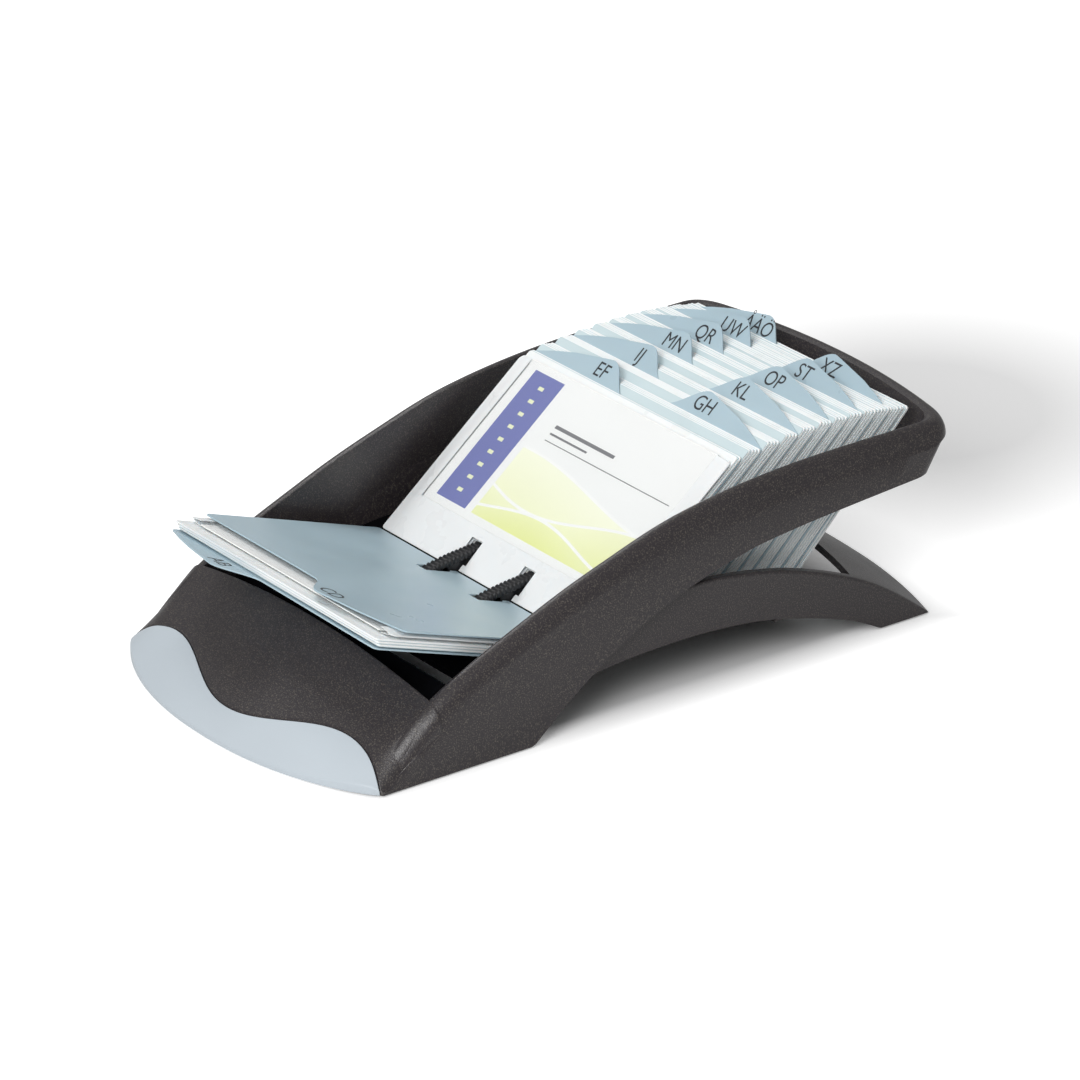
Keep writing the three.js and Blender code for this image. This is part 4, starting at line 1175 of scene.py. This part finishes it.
@dataclass
class Divider(Leaf):
    """A lettered divider: its top swells into a tab on one side."""

    side: Side = Side.LEFT
    letters: str = ""
    thickness: float = 0.45
    curl: float = 0.0
    tab_height: float = 7.3
    short: float = 2.2
    outer_corner: float = 1.2
    wave_height: float = 0.10
    wave_length: float = 17.0
    letter_size: float = 7.3
    letter_width: float = 0.86
    letter_up: float = 70.6

    def outline(self, x: Array) -> Array:
        """The divider's top: a ramp that climbs from the outer edge, a rounded corner, and an S back down to
        the level top. The S is a cubic Bezier curve, read as height over places across."""
        width = 2 * self.half
        t = np.linspace(0, 1, 40)
        legs = np.stack([(1 - t) ** 3, 3 * t * (1 - t) ** 2, 3 * t * t * (1 - t), t**3])
        end, crest = width * 0.447, width * 0.333
        across = legs.T @ np.array([end, end - 5, crest + 3, crest - 2])
        height = legs.T @ np.array([-self.short, -self.short, self.tab_height, self.tab_height])
        ramp = np.array([(width * 0.288, self.tab_height - 0.5), (width * 0.16, 4.0), (width * 0.08, 1.5), (0, -1.6)])
        places = np.concatenate([ramp[::-1, 0], across[::-1], [width]])
        levels = np.concatenate([ramp[::-1, 1], height[::-1], [-self.short]])
        outer = self.half + x if self.side is Side.LEFT else self.half - x
        corners = quarter_round(outer, width, self.corner) + quarter_round(width - outer, width, self.outer_corner)
        return self.top + np.interp(outer, places, levels) - corners

    def depth(self, x: Array, y: Array) -> Array:
        """A leaf that is flat on the rails, waves a little and curls towards its tab."""
        wave = self.wave_height * np.sin(x / self.wave_length + self.curl * 9) * smoothstep(y, 15, 60)
        return wave + self.curl * smoothstep(y, self.top - 6, self.top + self.tab_height)

    def build(self, name: str, paints: Paints) -> None:
        """Makes the sheet and its letters on both faces.

        Args:
            name: The node's name.
            paints: The materials.
        """
        shell = self.sheet(self.outline, self.depth, self.thickness, count=105, rows=30)
        dress(mesh_object(f"lettered_{name}", shell, [paints[DIVIDER_FINISH]], SHEET_ANGLE), f"{name}_body",
              Slot.DIVIDER, name)
        for word, face in (("front", 1), ("back", -1)):
            words = self.words(f"letters_{name}_{word}", face)
            words.data.materials.append(paints[INK_FINISH])
            dress(words, f"{name}_body", Slot.DIVIDER)

    def words(self, name: str, face: int) -> bpy.types.Object:
        """The index letters, printed a hair proud of one face: upright up the leaf on the front, and turned
        over for a leaf that lies in the pile on the back.

        Args:
            name: The object's name.
            face: 1 for the front, -1 for the back.

        Returns:
            The letters as a mesh that follows the curl.
        """
        curve = bpy.data.curves.new(name, "FONT")
        curve.body = self.letters
        curve.size = self.letter_size * MM
        curve.offset = -0.01 * MM
        curve.extrude = 0.012 * MM
        curve.align_x, curve.align_y = "CENTER", "CENTER"
        curve.resolution_u = 6
        text = add_object(name, curve)
        mesh = worked_out(text)
        bpy.data.objects.remove(text)
        points = np.empty(len(mesh.vertices) * 3, np.float32)
        mesh.vertices.foreach_get("co", points)
        points = points.reshape(-1, 3).astype(float) / MM
        across = (-21.0 if self.side is Side.LEFT else 20.4) + points[:, 0] * self.letter_width
        up = self.letter_up + face * points[:, 1]
        through = self.depth(across, up) + face * (self.thickness / 2 + 0.03 + points[:, 2])
        placed = self.place.world(np.stack([across, up, through], axis=-1)) * MM
        mesh.vertices.foreach_set("co", placed.astype(np.float32).ravel())
        mesh.update()
        return add_object(name, mesh)


@dataclass
class PocketPack(Leaf):
    """A pack of empty pockets: films that differ a little in size and place, so that their edges show.
    Every second film is narrower, lower and thinner, and painted grey as the shade in the gaps between films: of two
    values, the second is its extra."""

    foot: float = -1.15
    thickness: float = 3.3
    seed: int = 1
    climb: float = 0.9
    film_pitch: float = 0.42
    narrowing: tuple[float, float] = (0.4, 0.1)
    lowering: tuple[float, float] = (0.2, 0.15)
    sway: float = 0.07
    wave_length: float = 15.0
    spread: float = 0.05
    film_share: tuple[float, float] = (1.3, -0.7)
    top_corner: float = 0.9

    def build(self, name: str, paints: Paints) -> None:
        """Makes the pack as one piece.

        Args:
            name: The node's name.
            paints: The materials.
        """
        rng = np.random.default_rng(self.seed)
        count = max(2, round(self.thickness / self.film_pitch))
        shells = [self.film(i, count, rng) for i in range(count)]
        piece = mesh_object(f"films_{name}", join(shells), [paints[PAGE_FINISH], paints[PAINTED_GAP_SHADE_FINISH]], SHEET_ANGLE)
        # Every second film takes the grey of painted shade between the films.
        painted_gap_shade_index = np.repeat(np.arange(count) % 2, [len(shell.quads) for shell in shells])
        piece.data.polygons.foreach_set("material_index", painted_gap_shade_index.astype(np.int32))
        dress(piece, f"{name}_body", Slot.POCKET, name)

    def film(self, i: int, count: int, rng: np.random.Generator) -> Shell:
        """One film of the pack.

        Args:
            i: Its number from the back.
            count: Films in the pack.
            rng: The pack's random numbers.

        Returns:
            The film.
        """
        inner, pitch = i % 2, self.thickness / count
        trim = self.narrowing[0] * i / count + self.narrowing[1] * inner
        lower = rng.uniform(0.0, self.lowering[0]) + self.lowering[1] * inner
        middle = -self.thickness / 2 + (i + 0.5) * pitch
        sway, phase = rng.uniform(-self.sway, self.sway), rng.uniform(0, 6)
        lean = (i + 0.5 - count / 2) * self.spread

        def depth(x: Array, y: Array) -> Array:
            """The film at its place in the pack, waving a little and fanning out to its top."""
            return middle + (sway * np.sin(x / self.wave_length + phase) + lean) * smoothstep(y, 10, self.top)

        outline = self.straight(trim, lower + middle * self.climb, self.top_corner)
        return self.sheet(outline, depth, pitch * (self.film_share[0] + self.film_share[1] * inner), trim)


@dataclass
class Pocket(Leaf):
    """A clear card pocket: two films that close on each other at the foot and the sides."""

    room: float = 0.86
    closed: float = 0.12
    film: float = 0.16
    slot_top: float = 9.4
    weld_place: float = 3.4
    weld_width: float = 0.35
    weld_depth: float = 0.10
    side_rim: float = 6.3
    foot_rim: float = 12.9

    def build(self, name: str, paints: Paints) -> None:
        """Makes both films as one piece.

        Args:
            name: The node's name.
            paints: The materials.
        """
        shells = [self.side_film(face, lower) for face, lower in ((1, 0.5), (-1, 0.0))]
        piece = mesh_object(f"clear_{name}", join(shells), [paints[FILM_FINISH], paints[RIM_FINISH]], SHEET_ANGLE)
        frame = self.place.matrix().inverted()
        for polygon in piece.data.polygons:
            across, up, _ = (frame @ polygon.center) / MM
            polygon.material_index = int(abs(across) > self.half - self.side_rim or up < self.foot_rim)
        dress(piece, f"{name}_body", Slot.POCKET, name)

    def side_film(self, face: int, lower: float) -> Shell:
        """The film of one face.

        Args:
            face: 1 for the front, -1 for the back.
            lower: How much lower than the leaf its top is.

        Returns:
            The film.
        """
        def depth(x: Array, y: Array) -> Array:
            """Flat over the card, drawn to the middle at the sides and foot, with a weld line."""
            inward = self.half - np.abs(x)
            open_side, open_foot = smoothstep(inward, 0.4, 5.2), smoothstep(y, 2, 12.4)
            weld = self.weld_depth * np.exp(-((inward - self.weld_place) / self.weld_width) ** 2)
            rise = self.closed + (self.room - self.closed) * np.minimum(open_side, open_foot)
            return face * (rise - weld * open_foot)

        return self.sheet(self.straight(0, lower, self.corner), depth, self.film, count=60, rows=17)


@dataclass
class Card:
    """A business card in a pocket, printed on its outer face."""

    place: Place
    face: int
    half: float = LEAF_HALF - 6
    low: float = 13.15
    height: float = 55.0
    thickness: float = 0.4
    middle: float = 0.325

    def build(self, name: str, paints: Paints) -> None:
        """Makes the card with a map of its face: u across and v up, as seen from the printed side.

        Args:
            name: The node's name.
            paints: The materials.
        """
        x = np.linspace(-self.half, self.half, 13)
        y = np.linspace(self.low, self.low + self.height, 9)
        xs, ys = np.meshgrid(x, y, indexing="ij")
        level = self.face * self.middle
        outer, inner = level + self.face * self.thickness / 2, level - self.face * self.thickness / 2
        faces = [self.place.world(np.stack([xs, ys, np.full_like(xs, z)], axis=-1)) for z in (outer, inner)]
        piece = mesh_object(f"printed_{name}", slab(*faces), [paints[BOARD_FINISH], paints[PRINT_FINISH]], SHEET_ANGLE)
        mesh = piece.data
        printed = np.zeros(len(mesh.polygons), np.int32)
        printed[: (len(x) - 1) * (len(y) - 1)] = 1
        mesh.polygons.foreach_set("material_index", printed)
        u = 0.5 + self.face * xs / (2 * self.half)
        v = (ys - self.low) / self.height
        flat = np.tile(np.stack([u, v], axis=-1).reshape(-1, 2), (2, 1))
        corners = np.empty(len(mesh.loops), np.int32)
        mesh.loops.foreach_get("vertex_index", corners)
        mesh.uv_layers.new(name="face").data.foreach_set("uv", flat[corners].astype(np.float32).ravel())
        dress(piece, f"{name}_body", Slot.CARD, name)


@dataclass
class Leaves:
    """Every leaf of the rear stack and the front pile. Angles are in degrees."""

    paints: Paints
    gap: float = 0.3
    slack: float = 0.2
    divider: float = 0.45
    pocket: float = 2.0
    stack_start: float = along(-0.0674)
    stack_angle: float = 39.4
    fan: float = 0.28
    last_share: float = 0.42
    pile_start: float = along(-0.0674) - 4.3
    pile_angle: float = 180 - 19
    pile_pack: float = 2.4
    stack_curl: float = 0.25
    curl_turns: float = 7.0
    pile_curl: float = -0.15
    index: tuple[str, ...] = ("EF", "GH", "IJ", "KL", "MN", "OP", "QR", "ST", "UW", "XZ", "ÅÄÖ")

    @property
    def pack(self) -> float:
        """Thickness of a full pack between two dividers."""
        return along(0.01983) - self.divider - 2 * (self.gap + self.slack)

    def build(self) -> None:
        """Makes the stack from its front pocket to its last pack, then the pile from its top down."""
        stack = [("front_pocket", self.pocket, ""), ("pocket_pack_cd", self.pack / 3, "")]
        for letters in self.index:
            word = self.word(letters)
            share = self.last_share if letters == self.index[-1] else 1
            stack += [(f"divider_{word}", self.divider, letters), (f"pocket_pack_{word}", self.pack * share, "")]
        self.row(stack, self.stack_start, self.stack_angle, self.slack, 1)
        pile = [("divider_cd", self.divider, "CD"), ("pile_pocket", self.pocket, ""),
                ("pocket_pack_ab", self.pile_pack, ""), ("divider_ab", self.divider, "AB")]
        self.row(pile, self.pile_start, self.pile_angle, 0, -1)

    def row(self, leaves: list[tuple[str, float, str]], start: float, angle: float, slack: float,
            direction: int) -> None:
        """Makes leaves that lie on each other, their tabs right and left by turns.

        Args:
            leaves: Name, thickness and letters of each.
            start: Y of the first one's turning line.
            angle: The first one's angle above the rear horizon.
            slack: Space between two leaves over the gap.
            direction: 1 for the stack, to the rear, -1 for the pile, to the nose.
        """
        place = Place(start, float(carrier_top(start)) + TURN_LIFT, math.radians(angle))
        fan = math.radians(self.fan) if direction > 0 else 0.0
        before = None
        for i, (name, thickness, letters) in enumerate(leaves):
            if before is not None:
                place = place.following((before + thickness) / 2 + self.gap + slack, direction, fan)
            self.fill(name, thickness, place, letters, Side.LEFT if (i // 2) % 2 else Side.RIGHT)
            before = thickness

    @staticmethod
    def word(letters: str) -> str:
        """A divider's letters as they stand in the nodes' names."""
        return letters.lower().replace("å", "a").replace("ä", "a").replace("ö", "o")

    def fill(self, name: str, thickness: float, place: Place, letters: str, side: Side) -> None:
        """Makes one leaf, and the cards in it.

        Args:
            name: The node's name.
            thickness: The node's thickness.
            place: Where it stands.
            letters: A divider's letters.
            side: A divider's tab side.
        """
        if letters:
            leans_back = place.angle < math.pi / 2
            curl = self.stack_curl * math.sin(self.curl_turns * place.y) if leans_back else self.pile_curl
            Divider(place, side=side, letters=letters, thickness=thickness, curl=curl).build(name, self.paints)
        elif name.startswith("pocket_pack"):
            PocketPack(place, thickness=thickness, seed=int(place.y * 10) + 1000).build(name, self.paints)
        else:
            Pocket(place).build(name, self.paints)
            cards = {"front_pocket": (("card_front", 1), ("card_back", -1)), "pile_pocket": (("pile_card", 1),)}
            for card, face in cards[name]:
                Card(place, face).build(card, self.paints)


@dataclass
class Studio:
    """A pale table, soft lamps and the camera of the photograph. The view's angles are in degrees."""

    azimuth: float = 53.18
    elevation: float = 24.41
    roll: float = 0.07
    distance: float = 1989.6
    target: tuple[float, float, float] = (-25.58, 23.21, 14.89)
    lens: float = 214.95
    daylight: float = 0.36
    table_half: float = 3000.0
    table_grey: float = 0.86
    # A painted shadow behind the file: the table's glow drops near this place, in metres, within this reach.
    painted_shadow_place: tuple[float, float, float] = (-0.06, 0.205, 0)
    painted_shadow_reach: tuple[float, float] = (0.04, 0.13)
    glow: tuple[float, float] = (0.06, 0.6)
    under_file: tuple[float, float] = (0.86, 1.1)

    def build(self) -> None:
        """Sets the view, the world, the lamps, the camera and the table."""
        bpy.context.scene.view_settings.view_transform = "Standard"
        self.world()
        self.lamp("key", (460, -690, 570), (0, 0, 20), 0.42, 5.8)
        self.lamp("top", (-380, 30, 760), (0, 20, 20), 0.3, 2.3)
        self.table()
        self.camera()

    def world(self) -> None:
        """White where the camera and clear films look, and plain light otherwise."""
        world = bpy.data.worlds.new("studio")
        bpy.context.scene.world = world
        world.use_nodes = True
        tree = Tree(world.node_tree)
        shader = world.node_tree.nodes["Background"]
        path = tree.add("ShaderNodeLightPath")
        seen = tree.math("MAXIMUM", path.outputs["Is Camera Ray"], path.outputs["Is Transmission Ray"])
        tree.link(tree.range(seen, 0, 1, (self.daylight, 1.0)), shader.inputs["Strength"])
        shader.inputs["Color"].default_value = (1, 1, 1, 1)

    @staticmethod
    def lamp(name: str, place: tuple[float, float, float], aim: tuple[float, float, float], size: float,
             power: float) -> None:
        """A square soft lamp.

        Args:
            name: Its name.
            place: Where it hangs.
            aim: What it points at.
            size: Its side in metres.
            power: Its power in watts.
        """
        light = bpy.data.lights.new(name, "AREA")
        light.size = size
        light.energy = power
        lamp = add_object(name, light)
        lamp.location = Vector(place) * MM
        lamp.rotation_euler = (Vector(aim) - Vector(place)).to_track_quat("-Z", "Y").to_euler()

    def table(self) -> None:
        """The table: white to the camera by a glow, but for the shadows on it and a painted shadow behind the file."""
        size = self.table_half
        corners = np.array([(-size, -size, 0), (size, -size, 0), (size, size, 0), (-size, size, 0)])
        mesh = bpy.data.meshes.new("table")
        mesh.from_pydata((corners * MM).tolist(), [], [(0, 1, 2, 3)])
        material = bpy.data.materials.new("table_white")
        material.use_nodes = True
        tree = Tree(material.node_tree)
        material.node_tree.nodes.remove(material.node_tree.nodes["Principled BSDF"])
        output = material.node_tree.nodes["Material Output"]
        matt = tree.add("ShaderNodeBsdfDiffuse", {"Color": (*[self.table_grey] * 3, 1)}).outputs[0]
        glow = tree.add("ShaderNodeEmission", {"Color": (1, 1, 1, 1), "Strength": self.open_table(tree)}).outputs[0]
        bright = tree.add("ShaderNodeAddShader", {0: matt, 1: glow}).outputs[0]
        seen = tree.add("ShaderNodeLightPath").outputs["Is Camera Ray"]
        tree.link(tree.add("ShaderNodeMixShader", {0: seen, 1: matt, 2: bright}).outputs[0], output.inputs["Surface"])
        mesh.materials.append(material)
        add_object("table", mesh)

    def open_table(self, tree: Tree) -> bpy.types.NodeSocket:
        """Strength of the table's glow: full in the open, lowered near a place behind the file as a painted shadow,
        and none under the file, so that its shade there is not lifted, by the larger of the distances from its middle
        lines in shares of its half size.

        Args:
            tree: The table's nodes.

        Returns:
            The strength.
        """
        place = tree.add("ShaderNodeTexCoord").outputs["Object"]
        axes = tree.add("ShaderNodeSeparateXYZ", {0: place})
        shares = [
            tree.math("DIVIDE", tree.math("ABSOLUTE", axes.outputs[axis]), half * MM)
            for axis, half in ((0, HALF_WIDTH), (1, REAR_Y - 14))
        ]
        # Painted shadow: the glow is lowered near a place behind the file.
        behind = tree.add("ShaderNodeVectorMath", {0: place, 1: self.painted_shadow_place}, operation="DISTANCE")
        glow = tree.range(behind.outputs["Value"], *self.painted_shadow_reach, self.glow)
        return tree.math("MULTIPLY", glow, tree.range(tree.math("MAXIMUM", *shares), *self.under_file))

    def camera(self) -> None:
        """The photograph's view: azimuth 0 looks along +Y with +X on the right."""
        turn, rise = math.radians(self.azimuth), math.radians(self.elevation)
        back = Vector((math.sin(turn) * math.cos(rise), -math.cos(turn) * math.cos(rise), math.sin(rise)))
        data = bpy.data.cameras.new("photo_view")
        data.lens = self.lens
        data.sensor_width = 36
        data.clip_end = 20
        camera = add_object("photo_view", data)
        camera.location = (Vector(self.target) + back * self.distance) * MM
        facing = back.to_track_quat("Z", "Y").to_matrix().to_4x4()
        camera.rotation_euler = (facing @ Matrix.Rotation(math.radians(self.roll), 4, "Z")).to_euler()
        bpy.context.scene.camera = camera


def main() -> None:
    """Builds the studio and every piece in order."""
    logging.basicConfig(level=logging.INFO, format="%(message)s")
    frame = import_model()
    Studio().build()
    paints = Paints()
    Tray(paints).build()
    Stand(paints, frame["nodes"]["rail_carrier"]).build()
    Leaves(paints).build()


if __name__ == "__main__":
    main()
